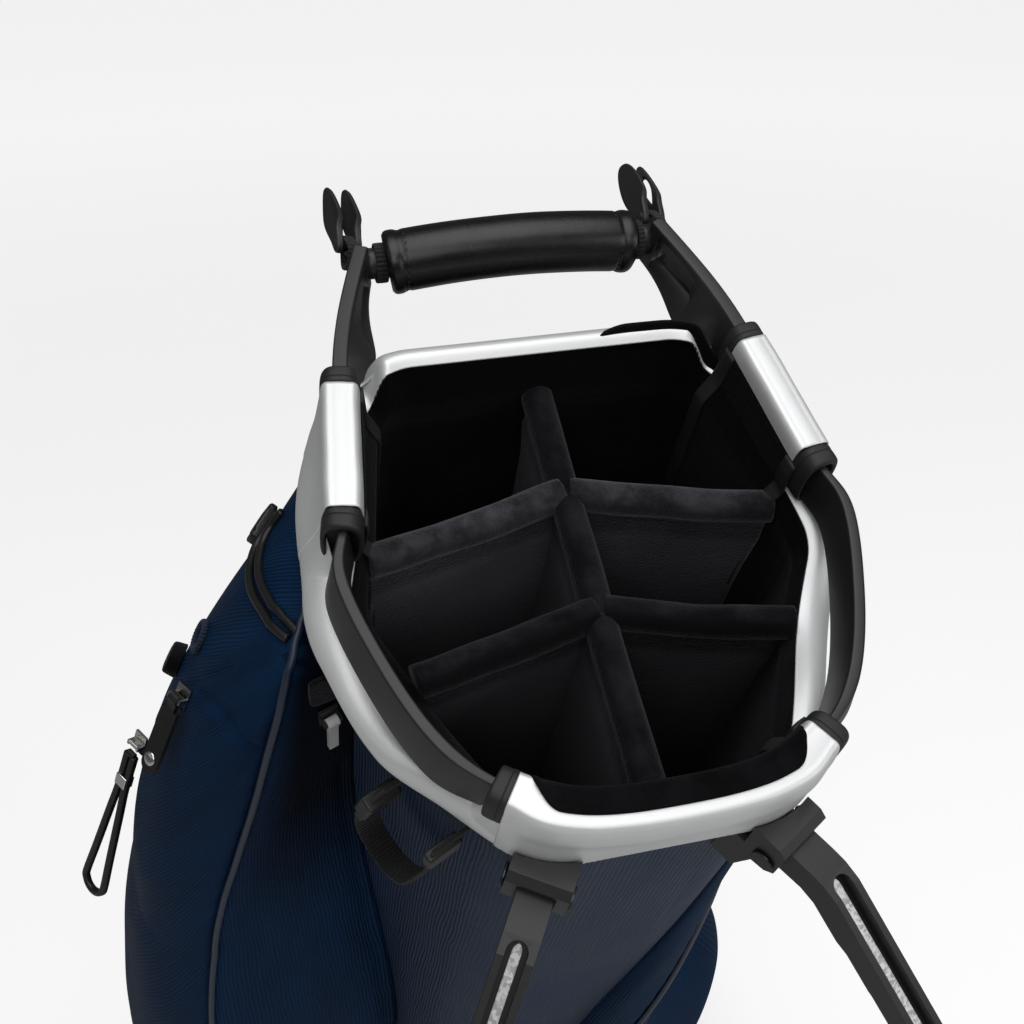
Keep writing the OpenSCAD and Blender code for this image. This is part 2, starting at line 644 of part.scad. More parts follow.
module strap_loop(side) difference() {
    union() {
        translate([side * (loop_in + loop_w / 2), grip_y, bag_h - arm_h / 2])
            bar(grip_core_r + clear + web_t, loop_w);
        translate([side * (clip_at[0] + loop_in + tunnel_l / 2) / 2, (tongue_y + grip_y + 4) / 2, clip_at[2]])
            cube([clip_at[0] + tunnel_l / 2 - loop_in, tongue_y - grip_y - 4, web_t], center = true);
        at_clip(side) bar(tunnel_r, tunnel_l);
        at_clip(side) translate([-tunnel_l / 2, tongue_y - clip_at[1] - 1, -web_t / 2])
            cube([tunnel_l, clip_at[1] - tongue_y + 1, web_t]);
    }
    translate([0, grip_y, bag_h - arm_h / 2]) bar(grip_core_r + clear, 3 * clip_at[0]);
    at_clip(side) bar(clip_bar_r + run, tunnel_l + 2);
}

// Clip: a bar with a slotted leaf at each end
module clip_leaf() difference() {
    union() {
        circle(leaf_w / 2, $fn = curve);
        translate([0, -leaf_w / 2]) square([leaf_l - leaf_w, leaf_w]);
        translate([leaf_l - leaf_w, 0]) circle(leaf_w / 2, $fn = curve);
    }
    translate([leaf_w, -2]) square([leaf_l - 2 * leaf_w, 4]);
}
module strap_clip(side) at_clip(side) {
    bar(clip_bar_r, tunnel_l + 2 * leaf_t);
    for (x = [-1, 1]) translate([x * ((tunnel_l + leaf_t) / 2 + clear), 0, 0]) across(leaf_t) clip_leaf();
}

module strap_loop_left() color("black") stand() strap_loop(-1);
module strap_loop_right() color("black") stand() strap_loop(1);
module strap_clip_left() color("black") stand() strap_clip(-1);
module strap_clip_right() color("black") stand() strap_clip(1);

// Trim on the left pocket. Frame at vertex k of ring m: x to the front, y up the skin, z outwards
skin_gap = 0.5;
function unit(v) = v / norm(v);
function left_at(k, m) = left_vertex(k, pocket_z(m), 0, 0);
module on_left(k, m, plumb = false, roll = 0) {
    t = unit(left_at(k + 1, m) - left_at(k - 1, m));
    n = unit(cross(t, left_at(k, m + 1) - left_at(k, m - 1)));
    b = cross(n, t);
    q = left_at(k, m) + (skin_gap + mount_w / 2 * sin(roll)) * n;
    spin = plumb ? atan2(-(up * t), up * b) : 0;
    multmatrix([for (i = [0:2]) [t[i], b[i], n[i], q[i]]])
        rotate([0, 0, spin]) rotate([0, roll, 0]) children();
}

// Pulls hang along the plumb line of the leaning bag, some of them rolled on edge
slider_roll = 30;
loop_roll = 50;
module on_slider() on_left(15, 12, true, slider_roll) children();
module on_loop() on_left(13, 9, true, loop_roll) children();
bar_shift = [-4, 11, 0];
module on_bar() on_left(25, 13) translate(bar_shift) children();

// Mount of a pull: plate, two posts and the bar the pull turns on
mount_z = 5;
mount_r = 1.4;
mount_w = 10;
post_w = 1.6;
eye_w = mount_w - 2 * post_w - 0.6;
module pull_mount() {
    translate([-mount_w / 2, -6, 0]) cube([mount_w, 13, 1.6]);
    for (x = [-1, 1]) translate([x * (mount_w - post_w) / 2 - post_w / 2, -mount_r, 1.5])
        cube([post_w, 2 * mount_r, mount_z + mount_r - 1.5]);
    translate([0, 0, mount_z]) bar(mount_r, mount_w - 0.2);
}

// Pull: an eye on the mount's bar, with a neck of length neck_l below it
eye_r = 2.9;
module pull_eye(neck_l, neck_t) translate([0, 0, mount_z]) difference() {
    union() {
        bar(eye_r, eye_w);
        translate([-eye_w / 2, -neck_l, -neck_t / 2]) cube([eye_w, neck_l, neck_t]);
    }
    bar(mount_r + run, mount_w);
}

tab_l = 47;
tab_w = 12;
tab_t = 2.6;
rivet_y = -39;
module pocket_toggle() color("black") stand() on_left(9, 13) translate([-22, -2, 0]) cube([24, 13, 6]);
module zip_slider() color("silver") stand() on_slider() pull_mount();
module zip_tab() color("black") stand() on_slider() {
    pull_eye(8, tab_t);
    translate([0, -tab_l + tab_w / 2, mount_z - tab_t / 2]) {
        translate([-tab_w / 2, 0, 0]) cube([tab_w, tab_l - tab_w / 2 - 7, tab_t]);
        cylinder(r = tab_w / 2, h = tab_t, $fn = curve);
    }
}
module tab_rivet() color("silver") stand() on_slider() translate([0, rivet_y, mount_z + tab_t / 2 + 0.05])
    cylinder(r1 = 4, r2 = 2.8, h = 1.4, $fn = curve);
module pocket_puck() color("black") stand() on_left(12, 11)
    cylinder(r1 = 10, r2 = 8.5, h = 8, $fn = curve);
module cord_loop() color("midnightblue") stand() on_left(13, 12) translate([-7, 7, 1.8])
    rotate_extrude($fn = curve) translate([8, 0]) circle(1.7, $fn = 16);

loop_neck = 34;
loop_l = 126;
loop_r = 11;
loop_t = 4;
loop_band = 3.6;
clamp_y = -28;
// Long stadium that widens downwards, grown inwards by g
module loop_shape(g) {
    low = -loop_l + loop_r;
    translate([0, low]) circle(loop_r - g, $fn = curve);
    polygon([[-loop_r + g, low], [loop_r - g, low], [eye_w / 2 - g * 0.6, -loop_neck - 3 * g],
        [-eye_w / 2 + g * 0.6, -loop_neck - 3 * g]]);
}
module loop_mount() color("silver") stand() on_loop() pull_mount();
module loop_pull() color("black") stand() on_loop() {
    pull_eye(loop_neck + 1, loop_t);
    translate([0, 0, mount_z - loop_t / 2]) linear_extrude(loop_t) difference() {
        loop_shape(0);
        loop_shape(loop_band);
    }
}
module loop_clamp() color("silver") stand() on_loop() translate([0, clamp_y, mount_z]) difference() {
    cube([eye_w + 3, 8, loop_t + 3], center = true);
    cube([eye_w + 0.1, 10, loop_t + 0.1], center = true);
}

bar_l = 30;
bar_w = 5.2;
bar_t = 3;
module bar_mount() color("black") stand() on_bar() pull_mount();
module bar_pull() color("silver") stand() on_bar() {
    pull_eye(6, bar_t);
    translate([-bar_w / 2, -bar_l, mount_z - bar_t / 2]) cube([bar_w, bar_l - 5, bar_t]);
}
patch_at = [-8, 2, 0];
patch_size = [19, 25, 3];
module plush_patch() color("black") stand() on_left(24, 14) translate(patch_at) cube(patch_size);

// Buckled strap on the front left face. Its frame: x to the front, y up from the top frame, z outwards
strap_out = 12;
strap_w = 14;
face_turn = edge_angle(4) + 90;
face_at = corner_point(5, tube_r + clear, 0);
module on_face(out) translate([face_at[0], face_at[1], bag_h]) rotate([90, 0, face_turn])
    translate([0, 0, out]) children();

// Webbing of width w on edge along the points p. Both upper pieces reach in to the tube, where they are sewn
function side_step(p, i) =
    let (v = unit(p[min(i + 1, len(p) - 1)] - p[max(i - 1, 0)])) [-v[1], v[0]] * web_t / 2;
module webbing(p, w) linear_extrude(w) polygon(concat(
    [for (i = [0:len(p) - 1]) p[i] - side_step(p, i)],
    [for (i = [len(p) - 1:-1:0]) p[i] + side_step(p, i)]));
strap_upper = [[-37, -56], [-44.5, -87], [-46.1, -93.5]];
strap_lower = [[-56.13, -137.3], [-58.5, -149], [-54, -162], [-41, -168],
    [-28, -163], [-18, -147], [-6, -97], [-3.2, -72.3]];
strap_end = [[-2.2, -60.7], [-1.7, -56], [-1.4, -53]];
buckle_turn = -13;
module strap_webbing() color("black") stand() {
    on_face(strap_out) webbing(strap_lower, strap_w);
    on_face(0) {
        webbing(strap_upper, strap_out + strap_w);
        webbing(strap_end, strap_out + strap_w);
    }
}
module buckle_socket() color("dimgray") stand() on_face(strap_out - 2) translate([-49, -106, 0])
    rotate(buckle_turn) translate([-4.5, -12.5, 0]) cube([9, 25, strap_w + 5]);
module buckle_plug() color("dimgray") stand() on_face(strap_out) translate([-53.91, -127.73, 0])
    rotate(buckle_turn) translate([-3, -9.5, 0]) cube([6, 19, strap_w + 1]);
module ladder_lock() color("dimgray") stand() on_face(strap_out - 2) translate([-2.6, -66.5, 0])
    translate([-3, -5.5, 0]) cube([6, 11, strap_w + 4]);

tube_shell();
lining();
divider_spine();
divider_front();
divider_rear();
top_frame();
handle_grip();
collar();
sleeve_front();
sleeve_left();
sleeve_right();
collar_bindings();
base_cup();
rocker_foot();
rocker_sole();
rocker_pin();
push_rods();
rod_guides();
left_pocket();
right_pocket();
leg_bracket_left();
leg_bracket_right();
leg_pin_left();
leg_pin_right();
leg_spring_left();
leg_spring_right();
leg_housing_left();
leg_housing_right();
leg_inlay_left();
leg_inlay_right();
leg_tube_left();
leg_tube_right();
leg_foot_left();
leg_foot_right();
strap_loop_left();
strap_loop_right();
strap_clip_left();
strap_clip_right();
pocket_toggle();
zip_slider();
zip_tab();
tab_rivet();
pocket_puck();
cord_loop();
loop_mount();
loop_pull();
loop_clamp();
bar_mount();
bar_pull();
plush_patch();
strap_webbing();
buckle_socket();
buckle_plug();
ladder_lock();
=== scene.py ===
"""Golf stand bag leaning on its opened legs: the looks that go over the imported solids.

Shapes are worked out in the upright bag's own frame, in millimetres: x to its right, y to its back and z up
its axis. stand() then leans them onto the legs, in metres, as the solids are.
"""
import math

import bmesh
import bpy
import numpy as np
from mathutils import Matrix


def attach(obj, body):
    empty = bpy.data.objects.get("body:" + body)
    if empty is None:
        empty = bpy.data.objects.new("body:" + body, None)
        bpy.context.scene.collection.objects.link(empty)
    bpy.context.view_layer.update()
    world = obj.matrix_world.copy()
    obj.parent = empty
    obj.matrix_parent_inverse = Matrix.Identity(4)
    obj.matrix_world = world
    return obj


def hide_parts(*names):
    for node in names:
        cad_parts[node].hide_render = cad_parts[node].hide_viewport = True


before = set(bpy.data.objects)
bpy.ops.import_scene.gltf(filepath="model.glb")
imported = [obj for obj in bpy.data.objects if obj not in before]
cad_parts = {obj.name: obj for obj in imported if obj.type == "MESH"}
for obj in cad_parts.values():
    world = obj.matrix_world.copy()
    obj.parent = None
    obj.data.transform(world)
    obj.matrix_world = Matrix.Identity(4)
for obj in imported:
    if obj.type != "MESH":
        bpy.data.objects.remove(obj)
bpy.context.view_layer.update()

# Sizes of the bag, as in its solids
MM_PER_M = 1000
LEAN = math.radians(30)
SOLE = np.array([0, -100.409, 19.938])
BAG_H = 870.0
TUBE_TOP = 818.0
TUBE_R = 38.0
SKIN_R = TUBE_R + 0.3
BASE_H = 80.0
GRIP_Y = 184.0
GRIP_Z = BAG_H - 14
ROLL_Z = BAG_H - 41
RIM_Z = BAG_H - 26.2
UP = np.array([0, math.sin(LEAN), math.cos(LEAN)])
SIDES = ((-1, "left"), (1, "right"))

# Outline of the tube: the centres of its six corners, the edges between them and the angles where arcs end.
# Its index counts steps, as many on a corner's arc as along the edge after it.
CORNERS = np.array([[38, -88], [80, 0], [65, 83], [-65, 83], [-80, 0], [-38, -88]], float)
STEPS = np.roll(CORNERS, -1, 0) - CORNERS
TURNS = np.degrees(np.arctan2(STEPS[:, 1], STEPS[:, 0])) - 90
ANGLES = np.radians(np.concatenate([[-90], TURNS[:3], TURNS[3:5] + 360, [270]]))
ARC_STEPS = 6
CORNER_STEPS = 2 * ARC_STEPS
ROUND_STEPS = CORNER_STEPS * len(CORNERS)
AROUND = np.linspace(0, ROUND_STEPS, 8 * ROUND_STEPS + 1)[:-1]

# Line of the top frame: its right half, from the front to the grip, and the whole of it
HALF_LINE = np.array([[0, -127], [42, -123.5], [72, -108], [92, -85], [108, -48],
                      [119, -4], [113, 28], [104, 96], [96, 137], [80, GRIP_Y]], float)
FRAME_LINE = np.concatenate([HALF_LINE[:0:-1] * [-1, 1], HALF_LINE])
FRAME_END = len(FRAME_LINE) - 1
FRAME_H = 24.0
ARM_H = 28.0


# Arithmetic of the shapes

def stacked(*axes):
    """Points from their coordinates, broadcast against each other."""
    return np.stack(np.broadcast_arrays(*axes), -1)


def stand(p):
    """Bag millimetres to the solids' metres: the sole goes to the origin, then all leans about x."""
    q = np.asarray(p, float) - SOLE
    c, s = math.cos(LEAN), math.sin(LEAN)
    return stacked(q[..., 0], c * q[..., 1] - s * q[..., 2], s * q[..., 1] + c * q[..., 2]) / MM_PER_M


def smooth(t):
    """Cubic step from 0 to 1."""
    u = np.clip(t, 0, 1)
    return u * u * (3 - 2 * u)


def mix(a, b, t):
    """Straight blend from a to b."""
    return a + (b - a) * t


def unit(v):
    """Vectors over their length."""
    v = np.asarray(v, float)
    return v / np.maximum(np.linalg.norm(v, axis=-1, keepdims=True), 1e-9)


def signed_power(v, power):
    """Power of the size of v, with the sign of v."""
    return np.sign(v) * np.abs(v) ** power


def round_angles(n):
    """n even angles round a full turn."""
    return np.linspace(0, 2 * np.pi, n, endpoint=False)


def ripple(a, b, seed, size):
    """Sum of six sine waves in the plane (a, b), of fixed seeded directions, between about -1 and 1."""
    rng = np.random.default_rng(seed)
    waves, total = 6, 0
    for _ in range(waves):
        turn, phase, rate = rng.uniform(0, 2 * np.pi), rng.uniform(0, 2 * np.pi), rng.uniform(0.5, 1.8)
        total = total + np.sin((a * np.cos(turn) + b * np.sin(turn)) * rate / size + phase)
    return total / waves


def outline(i, r):
    """Point and outward normal of the tube's outline at index i: the steps of a corner run along its arc of
    radius r, then along the edge to the next arc."""
    i = np.asarray(i, float) % ROUND_STEPS
    c = (i // CORNER_STEPS).astype(int)
    f = (i - CORNER_STEPS * c) / ARC_STEPS
    a = mix(ANGLES[c], ANGLES[c + 1], np.minimum(f, 1))
    n = stacked(np.cos(a), np.sin(a))
    return CORNERS[c] + r * n + STEPS[c] * np.maximum(f - 1, 0)[..., None], n


def set_out(p, n, out, z):
    """Points at height z, and at a distance out from the plan points p along their normals n."""
    flat = p + n * np.asarray(out, float)[..., None]
    high = np.broadcast_to(np.asarray(z, float)[..., None], flat.shape[:-1] + (1,))
    return np.concatenate([flat, high], -1)


def spline(points, t):
    """Smooth curve through the points: the uniform cubic of four neighbours, t from 0 to the last index."""
    p = np.asarray(points, float)
    n = len(p) - 1
    t = np.asarray(t, float)
    i = np.minimum(np.floor(t).astype(int), n - 1)
    f = (t - i).reshape(t.shape + (1,) * (p.ndim - 1))
    a, b, c, d = p[np.maximum(i - 1, 0)], p[i], p[i + 1], p[np.minimum(i + 2, n)]
    return 0.5 * (2 * b + (c - a) * f + (2 * a - 5 * b + 4 * c - d) * f ** 2
                  + (3 * b - a - 3 * c + d) * f ** 3)


def through(points, count):
    """count points, or lines of points, along the smooth curve through those given."""
    return spline(points, np.linspace(0, len(points) - 1, count))


def run_length(path):
    """Running length along a path."""
    return np.concatenate([[0], np.cumsum(np.linalg.norm(np.diff(path, axis=0), axis=1))])


def at_length(path, s, want):
    """Points of a path with the running lengths s, at the lengths wanted."""
    return np.stack([np.interp(want, s, axis) for axis in path.T], -1)


def along(points, count):
    """count points at equal distances along the smooth curve through the points."""
    fine = through(points, 60 * len(points))
    s = run_length(fine)
    return at_length(fine, s, np.linspace(0, s[-1], count))


def round_section(w, h, n=24, power=2.0):
    """Superellipse of width w and height h with n points: power 2 is an ellipse, more is boxier."""
    a = round_angles(n)
    return stacked(signed_power(np.cos(a), 2 / power) * w / 2, signed_power(np.sin(a), 2 / power) * h / 2)


def sweep(path, section, up, closed):
    """Section points (side, up) carried along a path, as one ring for each path point: side is square to the
    path and to the wished up direction. The section may be one for all or one for each point."""
    ahead = unit(np.roll(path, -1, 0) - np.roll(path, 1, 0) if closed else np.gradient(path, axis=0))
    side = unit(np.cross(ahead, np.broadcast_to(up, ahead.shape)))
    top = np.cross(side, ahead)
    sec = np.broadcast_to(section, (len(path),) + section.shape[-2:])
    return path[:, None] + sec[..., :1] * side[:, None] + sec[..., 1:] * top[:, None]


# Meshes

def add(name, data):
    """New object in the scene."""
    obj = bpy.data.objects.new(name, data)
    bpy.context.scene.collection.objects.link(obj)
    return obj


def add_piece(name, mesh, paint, sharp=None):
    """Object of a mesh that is shaded smooth, in its finish. Edges of more than sharp degrees stay crisp."""
    mesh.polygons.foreach_set("use_smooth", np.ones(len(mesh.polygons), bool))
    mesh.update()
    if sharp:
        mesh.set_sharp_from_angle(angle=math.radians(sharp))
    mesh.materials.append(paint)
    return add(name, mesh)


def settle(obj, body, nodes=()):
    """Lets an object ride on its body and stand for CAD nodes."""
    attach(obj, body)
    if nodes:
        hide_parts(*nodes)
    return obj


def make(name, verts, faces, paint, body="bag", nodes=(), slot=None, uv=None, sharp=None, shade=None):
    """One object from vertices in bag millimetres and a list of faces, with its finish, body and CAD nodes.
    shade is painted shade: a darkness for each vertex."""
    mesh = bpy.data.meshes.new(name)
    mesh.from_pydata(stand(np.asarray(verts, float).reshape(-1, 3)).tolist(), [], faces)
    if shade is not None:
        dark = mesh.attributes.new("shade", "FLOAT", "POINT")
        dark.data.foreach_set("value", np.asarray(shade, np.float32).ravel())
    if uv is not None:
        mesh.uv_layers.new(name="cloth").data.foreach_set("uv", np.asarray(uv, np.float32).ravel())
    return settle(add_piece(name, mesh, paint, sharp), body, nodes)


def grid_faces(m, n, wrap, flip=False):
    """Quads between the neighbours of an m by n grid; wrap joins the last row or column to the first."""
    idx = np.arange(m * n).reshape(m, n)
    if wrap[0]:
        idx = np.concatenate([idx, idx[:1]], 0)
    if wrap[1]:
        idx = np.concatenate([idx, idx[:, :1]], 1)
    q = np.stack([idx[:-1, :-1], idx[:-1, 1:], idx[1:, 1:], idx[1:, :-1]], -1).reshape(-1, 4)
    return q[:, ::-1] if flip else q


def surface(name, p, paint, wrap=(False, False), uv=None, flip=False, caps=False, thick=0, **more):
    """Object from a grid of points p[m, n]. uv is a grid of the same size, or one larger where the grid
    wraps. caps closes the first and last rings, and thick gives a sheet its wall, inwards."""
    p = np.asarray(p, float)
    m, n = p.shape[:2]
    faces = grid_faces(m, n, wrap, flip).tolist()
    loops = None
    if uv is not None:
        corners = grid_faces(m + wrap[0], n + wrap[1], (False, False), flip)
        loops = np.asarray(uv, float).reshape(-1, 2)[corners.reshape(-1)]
    if caps:
        first, last = list(range(n)), list(range((m - 1) * n, m * n))
        faces += [last[::-1], first] if flip else [first[::-1], last]
        if loops is not None:
            loops = np.concatenate([loops, np.zeros((2 * n, 2))])
    obj = make(name, p, faces, paint, uv=loops, **more)
    if thick:
        wall = obj.modifiers.new("wall", "SOLIDIFY")
        wall.thickness, wall.offset = thick / MM_PER_M, -1
    return obj


def tube(name, path, section, paint, up=(0, 0, 1), closed=False, **more):
    """Section carried along a path, capped at both ends or joined into a ring. UV runs along and round it."""
    path = np.asarray(path, float)
    p = sweep(path, np.asarray(section, float), up, closed)
    u = run_length(np.concatenate([path, path[:1]]) if closed else path)
    v = run_length(np.concatenate([p[0], p[0, :1]]))
    uv = stacked(u[:, None], v) / MM_PER_M
    return surface(name, p, paint, wrap=(closed, True), uv=uv, caps=not closed, flip=True, **more)


def round_edges(obj, width, segments, angle):
    """Rounds an object's edges of more than angle degrees to width mm."""
    bevel = obj.modifiers.new("edges", "BEVEL")
    bevel.width, bevel.segments = width / MM_PER_M, segments
    bevel.limit_method, bevel.angle_limit = "ANGLE", math.radians(angle)


def rounded_copy(node, paint, width, body, slot, segments=3):
    """Copy of a CAD node with its loose triangles merged, its flat faces joined and its edges rounded to
    width mm, where that isn't 0."""
    merge, flat = 2e-6, math.radians(0.6)
    bm = bmesh.new()
    bm.from_mesh(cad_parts[node].data)
    bmesh.ops.remove_doubles(bm, verts=bm.verts, dist=merge)
    bmesh.ops.dissolve_limit(bm, angle_limit=flat, verts=bm.verts, edges=bm.edges)
    mesh = bpy.data.meshes.new(node + "_skin")
    bm.to_mesh(mesh)
    bm.free()
    obj = add_piece(node + "_skin", mesh, paint, 35)
    if width:
        round_edges(obj, width, segments, 30)
    return settle(obj, body, (node,))


def stitches(name, path, out, paint, pitch, length, thick, body="bag", slot=None):
    """Row of thread stitches along a path: each a grain of four six-sided rings laid along the path, thinner
    at its ends and lifted a little along out."""
    path, out = np.asarray(path, float), np.asarray(out, float)
    grain = np.array([[-0.5, 0.35], [-0.3, 1], [0.3, 1], [0.5, 0.35]])
    rings, sides, lift, near = len(grain), 6, 0.1, 0.3
    s = run_length(path)
    at = np.arange(pitch / 2, s[-1], pitch)
    c, n = at_length(path, s, at), unit(at_length(out, s, at))
    t = unit(at_length(path, s, at + near) - at_length(path, s, at - near))
    c, n, t = (v[:, None, None] for v in (c, n, t))
    a = round_angles(sides)[:, None]
    spoke = np.cos(a) * unit(np.cross(n, t)) + np.sin(a) * n
    p = c + grain[:, None, :1] * length * t + thick * grain[:, None, 1:] * spoke + lift * n
    first = rings * sides * np.arange(len(at))[:, None, None]
    walls = first + grid_faces(rings, sides, (False, True))
    ends = first + np.array([np.arange(sides)[::-1], np.arange(sides) + (rings - 1) * sides])
    faces = walls.reshape(-1, 4).tolist() + ends.reshape(-1, sides).tolist()
    return make(name, p, faces, paint, body=body, slot=slot)


# Finishes

class Value:
    """A shader socket that takes part in sums: each operator adds one Math node."""

    def __init__(self, paint, socket):
        self.paint, self.socket = paint, socket

    def math(self, operation, *terms):
        """One Math node on the terms."""
        return self.paint.node("Math", {"operation": operation}, dict(enumerate(terms)))

    def __add__(self, other):
        return self.math("ADD", self, other)

    def __mul__(self, other):
        return self.math("MULTIPLY", self, other)

    __radd__, __rmul__ = __add__, __mul__

    def sin(self):
        """Sine of an angle in radians."""
        return self.math("SINE", self)

    def between(self, low, high):
        """0 below low, 1 above high, smooth in between."""
        return self.paint.node("MapRange", {"interpolation_type": "SMOOTHSTEP"},
                               {"Value": self, "From Min": low, "From Max": high})


class Paint:
    """One material with a Principled shader. Constants go on the shader's own sockets."""

    def __init__(self, name, **constants):
        self.material = bpy.data.materials.new(name)
        self.material.use_nodes = True
        self.tree = self.material.node_tree
        self.shader = self.tree.nodes["Principled BSDF"]
        for key, value in constants.items():
            self.shader.inputs[key.replace("_", " ")].default_value = value

    def node(self, kind, settings=None, inputs=None, out=0):
        """Adds a node of that type: its settings, then values or links for its sockets. Gives one output."""
        made = self.tree.nodes.new("ShaderNode" + kind)
        for key, value in (settings or {}).items():
            setattr(made, key, value)
        for key, value in (inputs or {}).items():
            self.link(value, made.inputs[key])
        return Value(self, made.outputs[out])

    def link(self, value, socket):
        """Links a value to a socket, or sets it there."""
        if isinstance(value, Value):
            self.tree.links.new(value.socket, socket)
        else:
            socket.default_value = value

    def feed(self, **values):
        """Links values to the shader's sockets and gives the finished material."""
        for key, value in values.items():
            self.link(value, self.shader.inputs[key.replace("_", " ")])
        return self.material

    def place(self):
        """Object coordinates, in metres."""
        return self.node("TexCoord", out="Object")

    def cloth(self):
        """The piece's own UV map, in metres: along it and across it."""
        uv = self.node("UVMap", {"uv_map": "cloth"})
        parts = [self.node("SeparateXYZ", inputs={0: uv}, out=k) for k in (0, 1)]
        return uv, parts[0], parts[1]

    def noise(self, where, scale, detail=2.0, roughness=0.5):
        """Noise of scale waves to the metre."""
        return self.node("TexNoise", inputs={"Vector": where, "Scale": scale, "Detail": detail,
                                             "Roughness": roughness})

    def blend(self, a, b, share):
        """Colour between a and b, each a colour's socket or its red, green and blue."""
        a, b = (c if isinstance(c, Value) else (*c, 1.0) for c in (a, b))
        return self.node("Mix", {"data_type": "RGBA"}, {0: share, 6: a, 7: b}, out=2)

    def bump(self, height, strength, distance):
        """Normal of a surface raised by height times distance."""
        return self.node("Bump", inputs={"Height": height, "Strength": strength, "Distance": distance})


def ridged_leatherette(name, deep, light, pitch, gloss):
    """Leatherette with fine wavy ridges: the sine of the distance across the cloth, pushed about by a slow
    noise that is long along the ridges. It is painted darker where the piece's painted shade says so."""
    p = Paint(name, Specular_IOR_Level=gloss)
    _, line, y = p.cloth()
    at = p.node("CombineXYZ", inputs={0: line * 4.5, 1: y})
    slow, fine = p.noise(at, 16, 2), p.noise(at, 1200, 2)
    # Painted shade that a piece gives for each vertex, from 0 to 1: the colour goes towards near black by it.
    dark = p.node("Attribute", {"attribute_name": "shade"}, out="Fac")
    ridge = ((line * (1 / pitch) + slow * 2.2) * (2 * math.pi)).sin() * 0.5 + 0.5
    patch = p.noise(at, 9, 3).between(0.25, 0.75)
    tone = ridge * 0.5 + patch * 0.35 + fine * 0.15
    colour = p.blend(p.blend(deep, light, tone), (0.001, 0.0015, 0.003), dark)
    return p.feed(Base_Color=colour, Roughness=0.42 + patch * 0.1 + fine * 0.1,
                  Normal=p.bump(ridge * 0.8 + fine * 0.2, 0.7, 0.0005))


def silver_leatherette():
    """Metallic leatherette: a fine pebble grain and a slow change of tone."""
    p = Paint("silver_leatherette", Metallic=0.5, Specular_IOR_Level=0.5)
    at = p.place()
    grain, slow = p.noise(at, 1400, 2), p.noise(at, 22, 2)
    tone = p.blend((0.85, 0.862, 0.87), (0.93, 0.937, 0.94), slow * 0.7 + grain * 0.3)
    return p.feed(Base_Color=tone, Roughness=0.42 + slow * 0.06 + grain * 0.06,
                  Normal=p.bump(grain + slow * 0.5, 0.14, 0.0003))


def plush(name, dark, light, steep, sheen):
    """Short pile: deep tone, with brushed patches of a lighter tone only where it faces up, from a normal's
    height
    of steep on: the brushing is the pile's own, the lighter tone on upward faces is painted light from above."""
    p = Paint(name, Sheen_Weight=sheen, Sheen_Roughness=0.4, Sheen_Tint=(0.80, 0.76, 0.86, 1.0),
              Specular_IOR_Level=0.1)
    at = p.place()
    pile, brush = p.noise(at, 700, 3, 0.7), p.noise(at, 45, 4, 0.65)
    normal = p.node("NewGeometry", out="Normal")
    # Painted light from above: only faces whose normal points up get the lighter brushed tone.
    painted_top_light = p.node("SeparateXYZ", inputs={0: normal}, out=2).between(steep, 1.0)
    brush_and_top_light = brush.between(0.3, 0.72) * painted_top_light
    return p.feed(Base_Color=p.blend(dark, light, brush_and_top_light * 0.8 + pile * 0.2), Roughness=0.85 + pile * 0.15,
                  Normal=p.bump(pile + brush * 0.6, 0.7, 0.0012))


def moulded_plastic(name, dark, light, rough):
    """Moulded plastic: a fine spark texture, slow gloss changes and a slight wear."""
    p = Paint(name, Specular_IOR_Level=0.5)
    at = p.place()
    spark, slow = p.noise(at, 1800, 1), p.noise(at, 30, 3)
    return p.feed(Base_Color=p.blend(dark, light, slow * 0.6 + spark * 0.4),
                  Roughness=rough + slow * 0.12 + spark * 0.06, Normal=p.bump(spark, 0.08, 0.0002))


def smooth_leather(name, dark, light, rough):
    """Leather with a fine cell grain and a slow change of gloss."""
    p = Paint(name, Specular_IOR_Level=0.5)
    at = p.place()
    cell = p.node("TexVoronoi", {"feature": "DISTANCE_TO_EDGE"}, {"Vector": at, "Scale": 900})
    slow = p.noise(at, 60, 3)
    return p.feed(Base_Color=p.blend(dark, light, slow), Roughness=rough + slow * 0.15,
                  Normal=p.bump(cell.between(0, 0.12) + slow * 1.5, 0.16, 0.0003))


def ribbed_webbing(name, dark, light, pitch):
    """Woven band: ribs along its length, crossed by the weave's short steps."""
    p = Paint(name, Sheen_Weight=0.1, Specular_IOR_Level=0.25)
    uv, x, y = p.cloth()
    rib = (x * (2 * math.pi / pitch)).sin() * 0.5 + 0.5
    step = (y * (2 * math.pi / (pitch * 0.8)) + x * (math.pi / pitch)).sin() * 0.5 + 0.5
    fuzz = p.noise(uv, 900, 2)
    tone = rib * 0.6 + step * 0.25 + fuzz * 0.15
    return p.feed(Base_Color=p.blend(dark, light, tone), Roughness=0.7 + fuzz * 0.2,
                  Normal=p.bump(rib + step * 0.4 + fuzz * 0.2, 0.8, 0.0006))


def bright_metal(name, tone, rough):
    """Polished metal with faint wiped marks."""
    p = Paint(name, Metallic=1.0)
    at = p.place()
    mark, slow = p.noise(at, 500, 4, 0.7), p.noise(at, 40, 2)
    return p.feed(Base_Color=p.blend(tuple(0.86 * c for c in tone), tone, slow),
                  Roughness=rough + mark * 0.12, Normal=p.bump(mark, 0.03, 0.0002))


